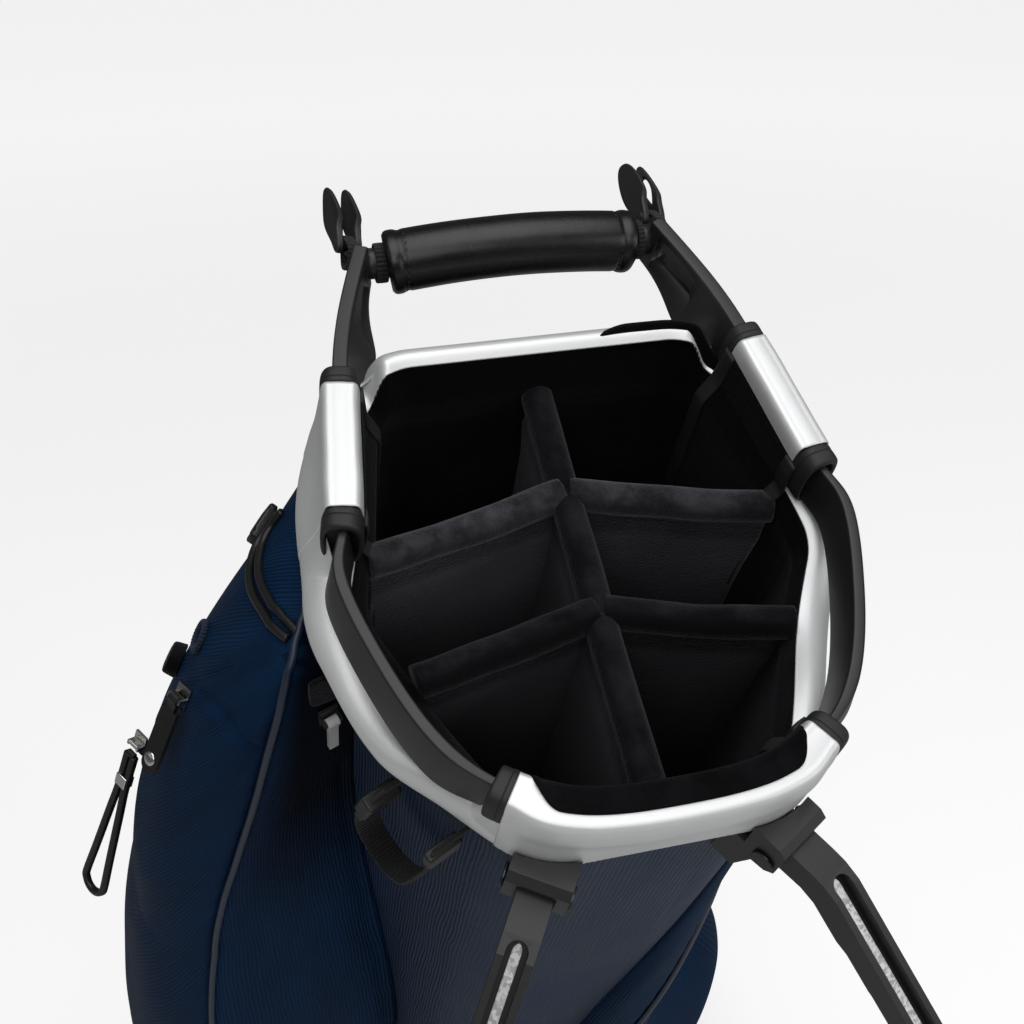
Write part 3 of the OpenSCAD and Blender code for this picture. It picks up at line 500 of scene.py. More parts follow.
def woven_silver(name):
    """Silver thread: small cells of different brightness, as threads that catch the light, in slow waves."""
    p = Paint(name, Metallic=0.2, Specular_IOR_Level=0.6)
    at = p.place()
    wave = p.noise(at, 160, 2)
    cell = p.node("TexVoronoi", inputs={"Vector": at, "Scale": 620}, out="Color")
    spark = p.node("SeparateColor", inputs={0: cell}).between(0.1, 0.85)
    return p.feed(Base_Color=p.blend((0.45, 0.46, 0.475), (0.99, 0.99, 0.99), spark * 0.8 + wave * 0.3),
                  Roughness=0.34 + wave * 0.2, Normal=p.bump(spark + wave * 0.5, 0.7, 0.0006))


def rubber(name):
    """Matt rubber with a dusty tone."""
    p = Paint(name, Specular_IOR_Level=0.3)
    at = p.place()
    dust, grain = p.noise(at, 35, 4), p.noise(at, 1300, 1)
    tone = p.blend((0.012, 0.012, 0.012), (0.04, 0.039, 0.037), dust.between(0.35, 0.8))
    return p.feed(Base_Color=tone, Roughness=0.72 + dust * 0.2, Normal=p.bump(grain, 0.25, 0.0003))


NAVY_DEEP, NAVY_LIGHT = (0.0028, 0.0115, 0.034), (0.0105, 0.040, 0.105)
navy_body = ridged_leatherette("navy_leatherette_body", NAVY_DEEP, NAVY_LIGHT, 0.0026, 0.3)
navy_pocket = ridged_leatherette("navy_leatherette_pocket", NAVY_DEEP, NAVY_LIGHT, 0.0021, 0.03)
navy_piping = smooth_leather("navy_piping", (0.006, 0.013, 0.032), (0.014, 0.028, 0.062), 0.3)
silver = silver_leatherette()
black_plush = plush("black_plush", (0.0011, 0.0010, 0.0015), (0.019, 0.018, 0.0215), 0.35, 0.15)
# Lighter copy of the plush, brushed lighter on all but downward faces, for the rear dividers: painted light.
painted_lit_plush = plush("painted_lit_plush", (0.0024, 0.0022, 0.0030), (0.075, 0.072, 0.083), -0.9, 0.35)
# Darker copy of the plush, with a dimmer top tone, for the well's lining and the covers' facings: painted
# shade.
painted_shade_plush = plush("painted_shade_plush", (0.0009, 0.0008, 0.0013), (0.007, 0.0066, 0.008), 0.35, 0.06)
black_plastic = moulded_plastic("black_plastic", (0.016, 0.016, 0.0175), (0.027, 0.027, 0.029), 0.36)
frame_plastic = moulded_plastic("frame_plastic", (0.014, 0.0143, 0.0156), (0.022, 0.0224, 0.024), 0.3)
black_leather = smooth_leather("black_leather", (0.0055, 0.0055, 0.0062), (0.014, 0.014, 0.0155), 0.3)
grip_leather = smooth_leather("grip_leather", (0.0018, 0.0018, 0.0022), (0.0045, 0.0045, 0.0054), 0.2)
binding_tape = smooth_leather("binding_tape", (0.012, 0.0117, 0.0117), (0.026, 0.0255, 0.025), 0.5)
black_webbing = ribbed_webbing("black_webbing", (0.006, 0.006, 0.0065), (0.026, 0.026, 0.028), 0.0022)
navy_cord = ribbed_webbing("navy_cord", (0.006, 0.012, 0.03), (0.02, 0.035, 0.075), 0.0018)
thread = smooth_leather("black_thread", (0.006, 0.006, 0.0065), (0.018, 0.018, 0.02), 0.55)
silver_metal = bright_metal("silver_metal", (0.80, 0.79, 0.77), 0.14)
bright_nickel = moulded_plastic("bright_nickel", (0.70, 0.695, 0.68), (0.86, 0.855, 0.84), 0.16)
steel = bright_metal("steel", (0.42, 0.42, 0.43), 0.3)
dark_steel = bright_metal("dark_steel", (0.075, 0.075, 0.078), 0.3)
aluminium = bright_metal("aluminium", (0.55, 0.55, 0.56), 0.34)
inlay_weave = woven_silver("silver_mesh")
black_rubber = rubber("rubber")


# Body, collar and lining

def slope_low(y):
    """Lowest height of the tube: over a slope at the bag's lean that passes a point at a distance, or the
    flat floor."""
    point_y, point_z, distance, floor = -64, 7, 9.8, 5.3
    return np.maximum(point_z + (distance - 0.5 * (y - point_y)) / 0.866, floor) + 1


def rim_top(p):
    """Top of the collar's rim: level under the frame, dipped under the handles and raised at the back."""
    x, y = p[..., 0], p[..., 1]
    return (RIM_Z - 14 * np.exp(-((y + 38) / 36) ** 2) * smooth((np.abs(x) - 50) / 30)
            + 16 * smooth((y - 98) / 10) * smooth((90 - np.abs(x)) / 12))


def flare(p):
    """How far the collar stands out over the left pocket."""
    return 15 * np.exp(-((p[..., 1] - 62) / 58) ** 2) * smooth((-p[..., 0] - 60) / 30)


def handle_flare(p):
    """How far the collar stands out under the left handle: a bell curve of 16 mm in y, steeper in front."""
    y = p[..., 1]
    bell = np.exp(-((y + 64) / np.where(y > -64, 58, 33)) ** 2)
    return 16 * bell * smooth((y + 122) / 20) * smooth((-p[..., 0] - 20) / 30)


# Lines up the collar: corner radius, share of the rim's height and shares of the two flares
COLLAR_LOW = TUBE_TOP + 0.2
COLLAR_LINES = [(39, 0, 1, 0.75), (43.6, 0.25, 1, 0.95), (45, 0.55, 0.9, 1), (42, 0.88, 0.35, 1),
                (36, 1.0, 0, 0.95)]
FACING_LINES = [(30, 0.95, 0, 0.85), (26.4, 0.66, 0, 0.6), (24.4, 0.40, 0, 0.3), (24.6, -0.4, 0, 0),
                (24.6, -2.6, 0, 0)]
LINING_LINES = [(31.0, 0.955, 0, 0.85), (29.0, 0.90, 0, 0.85), (26.4, 0.66, 0, 0.6), (24.4, 0.40, 0, 0.3),
                (25.2, 0.1, 0, 0.1)]


def collar_line(r, share, out, wide):
    """One line round the collar: corner radius, share of the rim's height and shares of its two flares."""
    p, n = outline(AROUND, r)
    q = p + n * (wide * handle_flare(p))[:, None]
    return stacked(q[:, 0] - out * flare(p), q[:, 1], mix(COLLAR_LOW, rim_top(p), share))


def build_body():
    """Tube of the body: the outline at each height with a slow ripple of under a millimetre."""
    base, n = outline(AROUND, TUBE_R)
    share = np.linspace(0, 1, 150)[:, None]
    z = mix(slope_low(base[:, 1]), TUBE_TOP - 0.4, share)
    dent = 0.5 * ripple(AROUND * 5, z / 9, 3, 6.0) * np.sin(np.pi * share) ** 0.5
    uv = stacked(run_length(np.concatenate([base, base[:1]])), np.concatenate([z, z[:, :1]], 1)) / MM_PER_M
    surface("body_skin", set_out(base, n, dent, z), navy_body, wrap=(False, True), uv=uv, thick=3.2,
            nodes=("tube_shell",), slot="navy_leatherette")


def build_collar():
    """Silver rim: a smooth curve through seven lines, from under the outer edge over the bulge to the inner
    edge."""
    lines = [(35.5, 0.02, 0.6, 0.6)] + COLLAR_LINES + [(30, 0.94, 0, 0.85)]
    p = through([collar_line(*c) for c in lines], 40)
    pad = surface("collar_pad", p, silver, wrap=(False, True), flip=True, thick=1.0, nodes=("collar",),
                  slot="silver_leatherette")
    edge, inside = (np.concatenate([p[k], p[k, :1]]) for k in (-1, -4))
    stitches("rim_stitches", edge + [0, 0, 0.2], edge - inside + [0, 0, 2.0], thread, 3.4, 2.4, 0.6,
             slot="black_webbing")


def frame_at(t):
    """Point and outward normal of the top frame's line."""
    near = 0.02
    v = spline(FRAME_LINE, np.minimum(t + near, FRAME_END)) - spline(FRAME_LINE, np.maximum(t - near, 0))
    return spline(FRAME_LINE, t), unit(stacked(v[..., 1], -v[..., 0]))


def frame_height(t):
    """Height of the frame, which is more at the arms."""
    return mix(FRAME_H, ARM_H, smooth((np.abs(t - FRAME_END / 2) - 7) / 1.5))


def reach(line, p, n):
    """Outward distance from frame points p along n to a line round the collar, and its height there."""
    farthest = 48
    d = line[None, :, :2] - p[:, None]
    ahead = (d * n[:, None]).sum(-1)
    aside = np.abs(d[..., 0] * n[:, None, 1] - d[..., 1] * n[:, None, 0])
    k = np.argmin(np.where(np.abs(ahead) < farthest, aside, 1e9), 1)
    return ahead[np.arange(len(p)), k], line[k, 2]


def build_shoulder(name, end, way):
    """Silver skin beyond the end of a cover: its outside sinks on a smooth step to the collar's rim, under
    the handle."""
    f = np.linspace(0, 1, 30)
    p, n = frame_at(np.clip(end - way * (0.62 * f - 0.06), 0, FRAME_END))
    rim = [reach(collar_line(*c), p, n) for c in COLLAR_LINES]
    low, mid, high = rim[:3]
    cover = [(low[0] + 0.5, low[1]), (mid[0] + 0.4, mid[1]), (high[0] + 0.3, high[1] + 1),
             (mix(high[0], 9.2, 0.72), BAG_H - 21), (8.6, BAG_H - 11)]
    step = smooth(f)
    ctrl = [set_out(p, n, mix(a, c + 0.2, step), mix(b, d + 0.1, step)) for (a, b), (c, d) in zip(cover, rim)]
    surface(name, through(ctrl, 40), silver, flip=True, thick=0.8, slot="silver_leatherette")


def build_facing(name, p, n, share, rise):
    """Plush inside a cover: lapped over its crest by the share, then down to the well's wall on a smooth
    curve across the frame's line. Gives the curve's points."""
    wall = [reach(collar_line(*c), p, n) for c in FACING_LINES]
    crest_out = [-9.9, -9.2, -8.4, -7.4, -3.2, 5]
    crest_z = BAG_H + np.array([-12, -6.5, -2.5, 0.5 * rise, rise, rise])
    lift = 1.0 + 3.2 * share * (1 - share)
    lap = [mix(a, b, share) for a, b in ((-9.2, 4.0), (-9.5, -2.5), (-9.7, -7.6))]
    pts = [(out, np.interp(out, crest_out, crest_z) + lift) for out in lap]
    pts += [(-10.1, BAG_H - 13), (mix(-9.6, wall[0][0], 0.5) - 0.8, BAG_H - 23)]
    pts += [(out - 1.3, z) for out, z in wall]
    ctrl = np.stack([set_out(p, n, *c) for c in pts])
    surface(name, through(ctrl, 60), painted_shade_plush, flip=True, thick=1.0, slot="black_plush")
    return ctrl


def build_hood(node, start, end, rise, over):
    """Silver cover over the frame: from the collar's lower edge up its outside, round over the frame and down
    inside, on a smooth curve through thirteen points across the frame's line. With over it is fuller away
    from its ends, and its facing laps over it there. A ribbon covers each end of the facing."""
    t = np.linspace(start, end, int((end - start) * 44))
    p, n = frame_at(t)
    from_end = np.minimum(t - start, end - t)
    full = 2.2 * over * smooth(from_end / 0.5)
    puff = 0.35 * ripple(t * 9, t * 3, 11, 1.0)
    low, mid, high = (reach(collar_line(*c), p, n) for c in COLLAR_LINES[:3])
    edge_z, crest_z = BAG_H + 0.5 * rise, BAG_H + rise
    pts = [(low[0] - 1.5, low[1] + 0.2), (low[0] + 0.8, low[1]), (mid[0] + 0.7, mid[1]),
           (high[0] + 0.6, high[1] + 1), (mix(high[0], 9.2, 0.72) + 0.6, BAG_H - 21),
           (9.1 + puff + full, BAG_H - 10), (7.4 + puff + full, edge_z), (3.2 + full, crest_z),
           (-3.2, crest_z), (-7.4 - puff, edge_z), (-9.0, BAG_H - 10), (-8.6, BAG_H - 23),
           (-7.4, BAG_H - 28)]
    ctrl = [set_out(p, n, *c) for c in pts]
    hood = surface(node + "_cover", through(ctrl, 90), silver, flip=True, thick=0.9, nodes=(node,),
                   slot="silver_leatherette")
    facing = build_facing(node + "_facing", p, n, over * smooth(from_end / 0.6), rise)
    for k, edge in ((0, "first"), (-1, "last")):
        build_shoulder(f"{node}_shoulder_{edge}", t[k], 2 * k + 1)
        side = np.append(-n[k], 0.0)
        tube(f"{node}_ribbon_{edge}", along(facing[:, k], 60) + side * 0.9, round_section(9.0, 2.2, 20, 3.0),
             binding_tape, up=side, slot="black_webbing")


# Bound ends of the covers: from and to along the frame's line, rise above it and depth below
BINDINGS = [(1.80, 1.995, 4.4, 12.6), (3.005, 3.27, 4.6, 12.6), (6.94, 7.21, 3.4, 9.2),
            (10.79, 11.06, 3.4, 9.2), (14.73, 14.995, 4.6, 12.6), (16.005, 16.2, 4.4, 12.6)]


def build_bindings():
    """Folded tape round the end of a cover: a cuff that swells over the tape's width, with a sewn groove, and
    turns in round its free lip to the hollow that the frame enters."""
    lip = np.array([(0, 0.45), (0.02, 0.8), (0.1, 0.98), (0.28, 1.0), (0.33, 0.9), (0.38, 1.0), (0.7, 1.0),
                    (0.9, 0.93), (0.99, 0.7), (1.0, 0.45), (0.97, 0.2), (0.9, 0.06), (0.7, 0.0), (0.45, 0.0)])
    w, swell = through(lip, 66).T
    angle = round_angles(64)
    wide, high = signed_power(np.cos(angle), 0.62), signed_power(np.sin(angle), 0.7)
    half_w = 7.2 + 2.6 * swell
    for k, (a, b, rise, deep) in enumerate(BINDINGS):
        p, n = frame_at(mix(a, b, w) if k % 2 else mix(b, a, w))
        half_h = deep + 0.5 * (rise + 3.0) * swell
        mid = BAG_H + 0.4 - deep + 0.5 * (rise - 2.6) * swell
        grid = set_out(p[:, None], n[:, None], half_w[:, None] * wide, mid[:, None] + half_h[:, None] * high)
        surface(f"edge_binding_{k + 1}", grid, binding_tape, wrap=(False, True), flip=k % 2 == 1, caps=True,
                nodes=("collar_bindings",), slot="black_webbing", sharp=60)


def build_lining():
    """Plush lining: from the collar's inner edge over a padded roll, fuller at the back right, then straight
    down the well."""
    top = np.stack([collar_line(*c) for c in LINING_LINES])
    at, n = outline(AROUND, 30.0)
    over = smooth((at[:, 0] - 10) / 38) * smooth((at[:, 1] - 72) / 22)
    roll = [(9, 3.5), (7, 7), (2.5, 5), (0, 1), (0, 0)]
    top = top + over[:, None] * np.stack([set_out(0, n, out, rise) for out, rise in roll])
    neck = [set_out(*outline(AROUND, r), 0, TUBE_TOP - down) for r, down in ((26.0, 8), (24.6, 40))]
    low, _ = outline(AROUND, 24.2)
    floor = set_out(low, n, 0, slope_low(low[:, 1]) + 4)
    p = np.concatenate([through(np.concatenate([top, neck]), 60),
                        mix(neck[-1], floor, np.linspace(0, 1, 60)[1:, None, None])])
    p = p + set_out(0, n, 0.55 * ripple(AROUND * 3.1, p[..., 2] / 7, 5, 2.2), 0)
    surface("well_lining", p, painted_shade_plush, wrap=(False, True), thick=1.6, nodes=("lining",),
            slot="black_plush")


def build_divider(name, node, start, end, seed, sag, finish):
    """Divider: a panel with a padded roll on its top edge. The section is a roll of radius 8 over a neck that
    runs into the panel; it is carried along the divider and wavers as stuffed cloth does."""
    s = np.linspace(0, 1, 90)
    start, end = np.asarray(start, float), np.asarray(end, float)
    line = mix(start, end, s[:, None])
    side = unit([start[1] - end[1], end[0] - start[0]])
    a = np.radians(np.linspace(-62, 242, 34))
    fat = (8.2 + 0.5 * ripple(s * 30, s * 11, seed, 3.0))[:, None]
    z = ROLL_Z - sag * np.sin(np.pi * s) + 0.6 * ripple(s * 24, s * 7, seed + 1, 3.0)
    roll = np.stack([np.cos(a) * fat, z[:, None] + np.sin(a) * fat], -1)
    half = np.array([3.4, 3.1, 4.6, 4.4, 2.9, 2.5, 2.5, 2.5])
    neck_z = np.append(ROLL_Z - np.array([12, 15, 22, 30, 46, 80]), [500, 250])
    right = np.broadcast_to(stacked(half, neck_z), (len(s), len(half), 2))
    foot = stacked(half[-1], np.minimum(slope_low(line[:, 1]) + 6, 240))[:, None]
    ring = np.concatenate([foot * [-1, 1], right[:, ::-1] * [-1, 1], roll[:, ::-1], right, foot], 1)
    waver = 1.2 * ripple(s * 18, s * 5, seed + 2, 2.4) * np.sin(np.pi * s)
    p = set_out(line[:, None], side, ring[..., 0] + waver[:, None], ring[..., 1])
    pad = surface(name, p, finish, wrap=(False, True), caps=True, flip=True, nodes=(node,),
                  slot="black_plush")


build_body()
build_collar()
build_hood("sleeve_front", 7.2, 10.8, 2.5, 1.0)
build_hood("sleeve_left", 2.0, 3.0, 3.5, 0.0)
build_hood("sleeve_right", 15.0, 16.0, 3.5, 0.0)
build_bindings()
build_lining()
build_divider("divider_spine_pad", "divider_spine", (0, -113), (0, 109), 21, 2.0, black_plush)
for side, name in SIDES:
    build_divider(f"divider_front_{name}_pad", "divider_front", (side * 2, -20.5), (side * 91, -41.0),
                  30 + side, 2.5, black_plush)
    # The rear dividers wear the lighter copy of the plush: painted light.
    build_divider(f"divider_rear_{name}_pad", "divider_rear", (side * 2, 46.5), (side * 102, 23.5),
                  40 + side, 2.5, painted_lit_plush)


# Top frame and grip

def fillet(poly, r, n=5):
    """Polygon with each corner replaced by a curve of n points: the quadratic through two points at r along
    its edges."""
    p = np.asarray(poly, float)
    before = p + unit(np.roll(p, 1, 0) - p) * r
    after = p + unit(np.roll(p, -1, 0) - p) * r
    f = np.linspace(0, 1, n)[None, :, None]
    curve = (1 - f) ** 2 * before[:, None] + 2 * f * (1 - f) * p[:, None] + f ** 2 * after[:, None]
    return curve.reshape(-1, 2)


def cut_window(obj, side):
    """Cuts a window out of the frame's arm: a wedge, drawn out along x and turned by 19 degrees about z."""
    wedge = [(4, 5), (4, -7), (-34, 1), (-30, 4)]
    a = math.radians(side * 19)
    c, s = math.cos(a), math.sin(a)
    x, y, z = np.array([[x, y, z] for x in (-30, 30) for y, z in wedge], float).T
    w = stacked(side * 84 + c * x - s * y, GRIP_Y - 12 + s * x + c * y, BAG_H - 13 + z)
    faces = [[0, 1, 2, 3], [7, 6, 5, 4]] + [[k, 4 + k, 4 + (k + 1) % 4, (k + 1) % 4] for k in range(4)]
    cutter = make("wedge", w, faces, frame_plastic)
    bm = bmesh.new()
    bm.from_mesh(cutter.data)
    bmesh.ops.recalc_face_normals(bm, faces=bm.faces)
    bm.to_mesh(cutter.data)
    bm.free()
    cut = obj.modifiers.new("window", "BOOLEAN")
    cut.operation, cut.object, cut.solver = "DIFFERENCE", cutter, "EXACT"
    bpy.context.view_layer.update()
    done = bpy.data.meshes.new_from_object(obj.evaluated_get(bpy.context.evaluated_depsgraph_get()))
    obj.modifiers.clear()
    obj.data = done
    bpy.data.objects.remove(cutter)


def build_frame():
    """Top frame: a rounded trapezium carried along the frame's line, higher at the arms and broader on the
    handles' outside, with a window in each arm."""
    t = np.linspace(0, FRAME_END, 420)
    p, n = frame_at(t)
    x, z = fillet([[6.0, -FRAME_H], [2.5, 0], [-2.5, 0], [-6.0, -FRAME_H]], 1.1).T
    low = -z / FRAME_H
    from_front = np.abs(t - FRAME_END / 2)[:, None]
    handle = smooth((from_front - 2.05) / 0.9) * smooth((5.75 - from_front) / 0.9)
    arm = smooth((from_front - 6.2) / 0.4)
    broad = mix(mix(-3.0, 1.2, handle), 0, arm)
    lean_in = 11 * np.exp(-((from_front - 7.95) / 0.5) ** 2)
    out = x + 1.2 * (arm * (1 - low) * np.sign(x)) + broad * (x > 0) * mix(0.3, 1, low) - lean_in * low
    grid = set_out(p[:, None], n[:, None], out, BAG_H + z * (frame_height(t) / FRAME_H)[:, None])
    bar = surface("frame_bar", grid, frame_plastic, wrap=(False, True), caps=True, nodes=("top_frame",),
                  slot="black_plastic", sharp=40)
    for side, _ in SIDES:
        cut_window(bar, side)
    tube("grip_bar", stacked(np.linspace(-78, 78, 40), GRIP_Y, GRIP_Z), round_section(16, 16), frame_plastic,
         slot="black_plastic")


def build_grip():
    """Leather grip: a slightly square tube along x, bowed up a little, with a folded band at each end and a
    row of stitches beside it."""
    half, steps = 66, 48
    x = np.linspace(-half, half, 120)
    bow = 5.4 * (1 - (x / half) ** 2) - 0.8
    end = half - np.abs(x)
    fold, groove = np.exp(-((end - 3.5) / 3.0) ** 4), np.exp(-((end - 8.4) / 1.1) ** 2)
    r = 15.7 + 0.6 * fold - 0.5 * groove - 1.6 * np.exp(-end / 0.8)
    sec = round_section(2, 2, steps, 2.15) * r[:, None, None]
    sec = sec + 0.18 * ripple(x[:, None] / 4, np.arange(steps) / 3, 8, 2.0)[..., None] * unit(sec)
    tube("grip_leather", stacked(x, GRIP_Y, GRIP_Z + bow), sec, grip_leather, nodes=("handle_grip",),
         slot="black_leather")
    a = np.linspace(0, 2 * np.pi, 121)
    for side, name in SIDES:
        ring = stacked(side * 57.2, GRIP_Y + 15.5 * np.cos(a), GRIP_Z + 0.5 + 15.5 * np.sin(a))
        stitches("grip_stitches_" + name, ring, stacked(0, np.cos(a), np.sin(a)), thread, 3.6, 2.3, 0.6,
                 slot="black_leather")


build_frame()
build_grip()


# Pockets: their lower and upper ends, their wall, and the steps round and up that their solids have
LOW = BASE_H + 3
TOP = TUBE_TOP - 1.5
WALL = 2.0
POCKET_STEPS = 26
POCKET_RINGS = 16


def closing(z, low):
    """Closes a pocket's ends against the tube, the lower one over a height of low."""
    return np.sqrt(np.maximum(smooth((z - LOW) / low) * smooth((TOP - z) / 14), 0))


def box_shape(u):
    """Rounded box over 0 to 1."""
    return np.sqrt(np.maximum(1 - np.abs(2 * u - 1) ** 3, 0))


def pocket_z(m):
    """Height of the solids' ring m."""
    return mix(LOW, TOP, 1 - (1 - m / POCKET_RINGS) ** 1.5)


def pocket_share(k):
    """Share of the way round a pocket at step k, on half a cosine wave."""
    return (1 - np.cos(np.pi * k / POCKET_STEPS)) / 2


def left_skin(k, z):
    """Left pocket at step k round it and height z: the outline pushed out by the pocket's depth there."""
    k, z = np.broadcast_arrays(np.asarray(k, float), np.asarray(z, float))
    u, d = pocket_share(k), BAG_H - z
    full = 156.8 * (1 - np.exp((30 - d) / 166)) + 0.09 * np.maximum(d - 360, 0)
    deep = WALL + closing(z, 100) * (full - WALL)
    base, n = outline(mix(39, mix(54, 58, smooth((d - 180) / 450)), u), SKIN_R)
    return set_out(base, n, deep * box_shape(u ** 1.6), z)


def right_skin(k, z):
    """Right pocket: a flat upper part over a rounded belly."""
    k, z = np.broadcast_arrays(np.asarray(k, float), np.asarray(z, float))
    u, d = pocket_share(k), BAG_H - z
    i = mix(mix(4, 0, smooth((d - 90) / 420)), 27, u)
    flat = closing(z, 60) * 36 * np.clip((d - 100) / 450, 0, 1)
    bulge = np.maximum(np.sin(np.pi * (i - 3) / 21), 0) ** 0.8
    belly = closing(z, 60) * 115 * smooth((d - 560) / 210) * bulge
    base, n = outline(i, SKIN_R)
    return set_out(base, n, (WALL + 1.2 + flat * (1 - 0.7 * smooth((i - 4) / 10))) * box_shape(u) + belly, z)


def skin_normal(skin, k, z):
    """Outward unit normals of a pocket's skin, from its two differences."""
    k, z = np.clip(k, 0.2, POCKET_STEPS - 0.2), np.clip(z, LOW + 1, TOP - 1)
    return unit(np.cross(skin(k + 0.1, z) - skin(k - 0.1, z), skin(k, z + 0.5) - skin(k, z - 0.5)))


def seam_path(skin, points, count, lift=0.0):
    """Smooth line through (k, z) places on a pocket's skin, with its normals, lifted along them."""
    kz = through(points, count)
    n = skin_normal(skin, kz[:, 0], kz[:, 1])
    return skin(kz[:, 0], kz[:, 1]) + n * lift, n


def nearest(p, line):
    """Distance from each point of a grid to a line of points."""
    best = np.full(p.shape[:-1], 1e9)
    for q in line:
        best = np.minimum(best, ((p - q) ** 2).sum(-1))
    return np.sqrt(best)


# Seams of the left pocket, as places (step, height) on its skin
LEFT_SEAMS = {
    "main": [(13.7, 811.2), (15.3, 810.1), (16.9, 808.8), (19.3, 804.6), (20.6, 791), (21.5, 769),
             (22.1, 729), (22.3, 682), (22.1, 628), (21.7, 580), (21.2, 516), (20.8, 430),
             (20.5, 300), (20.4, 180)],
    "cross": [(15.35, 740), (18.05, 758), (21.15, 750)],
    "outer arc": [(8.75, 783), (9.0, 774.5), (9.75, 770.5), (10.75, 773.5), (11.8, 779), (12.85, 786.5),
                  (13.95, 796), (14.95, 803), (16.6, 807.2)],
    "inner arc": [(9.1, 791.2), (9.36, 783.1), (10, 780.5), (10.86, 782.9), (11.8, 787), (12.8, 793.7),
                  (13.8, 801.5), (14.65, 806.5), (16.2, 809.2)],
    "valley": [(25.6, 690), (25.7, 560), (25.7, 400), (25.7, 250)],
    "zip": [(15.6, 770), (14.5, 728), (13.4, 660), (12.6, 560), (12.2, 430), (12.2, 300), (12.6, 190)],
}
RIGHT_SEAMS = {"front": [(6.5, 770), (6.5, 640), (6.0, 480), (5.0, 330), (5.0, 200)],
               "back": [(21.5, 770), (21.5, 600), (21.0, 420), (20.5, 200)]}


def build_pocket(name, node, skin, seams, seed, level, front=None):
    """Sewn skin of a pocket: drawn in along its seams, full between them and slightly wrinkled beside them.
    The cloth's ridges run up it, spaced as at the height level, and slant by 24 degrees behind the seam named
    front. Before that seam, where the cloth folds in, painted shade darkens it from a height of about 500 up."""
    k, z = np.meshgrid(np.linspace(0, POCKET_STEPS, 200), mix(LOW, TOP, np.linspace(0, 1, 240)))
    p, n = skin(k, z), skin_normal(skin, k, z)
    near = np.full(k.shape, 1e3)
    for pts, count in seams:
        near = np.minimum(near, nearest(p, seam_path(skin, pts, count)[0]))
    free = np.maximum(np.sin(np.pi * k / POCKET_STEPS), 0) ** 0.5
    free = free * smooth((z - LOW) / 60) * smooth((TOP - z) / 40)
    slack = 1.5 * ripple(k * 2.2, z / 16, seed, 1.6) * smooth(near / 30)
    pull = 0.8 * np.sin(z / 4.2 + 3 * ripple(k, z / 30, seed + 1, 2.0)) * np.exp(-near / 9)
    p = p + n * ((slack + 0.5 * pull) * free - 2.2 * np.exp(-(near / 3.2) ** 2) * smooth(free * 3))[..., None]
    wide, high = np.broadcast_arrays(run_length(skin(k[0], level)) / MM_PER_M, z / MM_PER_M)
    uv, shade = stacked(wide, high), np.zeros(k.shape)
    if front is not None:
        edge_k, edge_z = np.array(front[::-1]).T
        edge = np.interp(z, edge_z, edge_k)
        c, s = math.cos(math.radians(66)), math.sin(math.radians(66))
        uv = np.where((k < edge)[..., None], stacked(c * high - s * wide, c * wide + s * high), uv)
        # Painted shade before the front seam, where the cloth folds in under the rim, from a height of 500
        # up.
        shade = 0.92 * smooth((k - edge) / 1.8) * smooth((z - 500) / 190)
    surface(name, p, navy_pocket, uv=uv, thick=1.5, nodes=(node,), slot="navy_leatherette", shade=shade)


def piping(name, skin, points, count, r, lift, paint, slot):
    """Round cord in a folded strip along a seam."""
    path, n = seam_path(skin, points, count, lift)
    tube(name, path, round_section(2 * r, 2 * r, 14), paint, up=n, slot=slot)


left_counts = {"main": 160, "cross": 40, "zip": 120, "valley": 90}
left_seams = [(LEFT_SEAMS[seam], count) for seam, count in left_counts.items()]
right_seams = [(seam, 120) for seam in RIGHT_SEAMS.values()]
build_pocket("left_pocket_skin", "left_pocket", left_skin, left_seams, 51, 600.0, LEFT_SEAMS["main"])
build_pocket("right_pocket_skin", "right_pocket", right_skin, right_seams, 61, 420.0)
piping("left_pocket_piping", left_skin, LEFT_SEAMS["main"], 240, 2.1, 0.9, navy_piping, "navy_leatherette")
for arc in ("outer", "inner"):
    piping(f"{arc}_arc_piping", left_skin, LEFT_SEAMS[arc + " arc"], 120, 2.3, 1.2, black_leather,
           "black_leather")
piping("right_pocket_piping", right_skin, RIGHT_SEAMS["front"], 200, 2.1, 0.8, navy_piping,
       "navy_leatherette")


# Trim on the left pocket

def spin_about(axis, angle):
    """Turn by an angle about x, y or z."""
    return np.array(Matrix.Rotation(angle, 3, axis))


def on_left(k, m, plumb=False, roll=0.0):
    """Places on the left pocket's skin at step k of the solids' ring m: x to the front, y up the skin and z
    outwards. Where plumb, y is turned to point up; roll turns about y."""
    def at(a, b):
        """Point of the skin at step a of ring b."""
        return left_skin(a, pocket_z(b))
    t = unit(at(k + 1, m) - at(k - 1, m))
    n = unit(np.cross(t, at(k, m + 1) - at(k, m - 1)))
    b = np.cross(n, t)
    spin = math.atan2(-(UP @ t), UP @ b) if plumb else 0.0
    axes = np.stack([t, b, n], 1) @ spin_about("Z", spin) @ spin_about("Y", roll)
    q = at(k, m) + (0.5 + 5 * math.sin(roll)) * n
    return lambda v: q + np.asarray(v, float) @ axes.T


def block(name, place, centre, size, paint, power, dent=None, **more):
    """Soft box: a superellipsoid of that size, whose power makes it boxier, with dents along its own axes."""
    a = np.linspace(-np.pi / 2, np.pi / 2, 34)[1:-1, None]
    b = np.linspace(-np.pi, np.pi, 56, endpoint=False)
    ca, sa, cb, sb = (signed_power(v, 2 / power) for v in (np.cos(a), np.sin(a), np.cos(b), np.sin(b)))
    p = stacked(ca * cb, ca * sb, sa) * np.asarray(size, float) / 2
    if dent is not None:
        p = p + dent(p)
    return surface(name, place(p + centre), paint, wrap=(False, True), caps=True, **more)


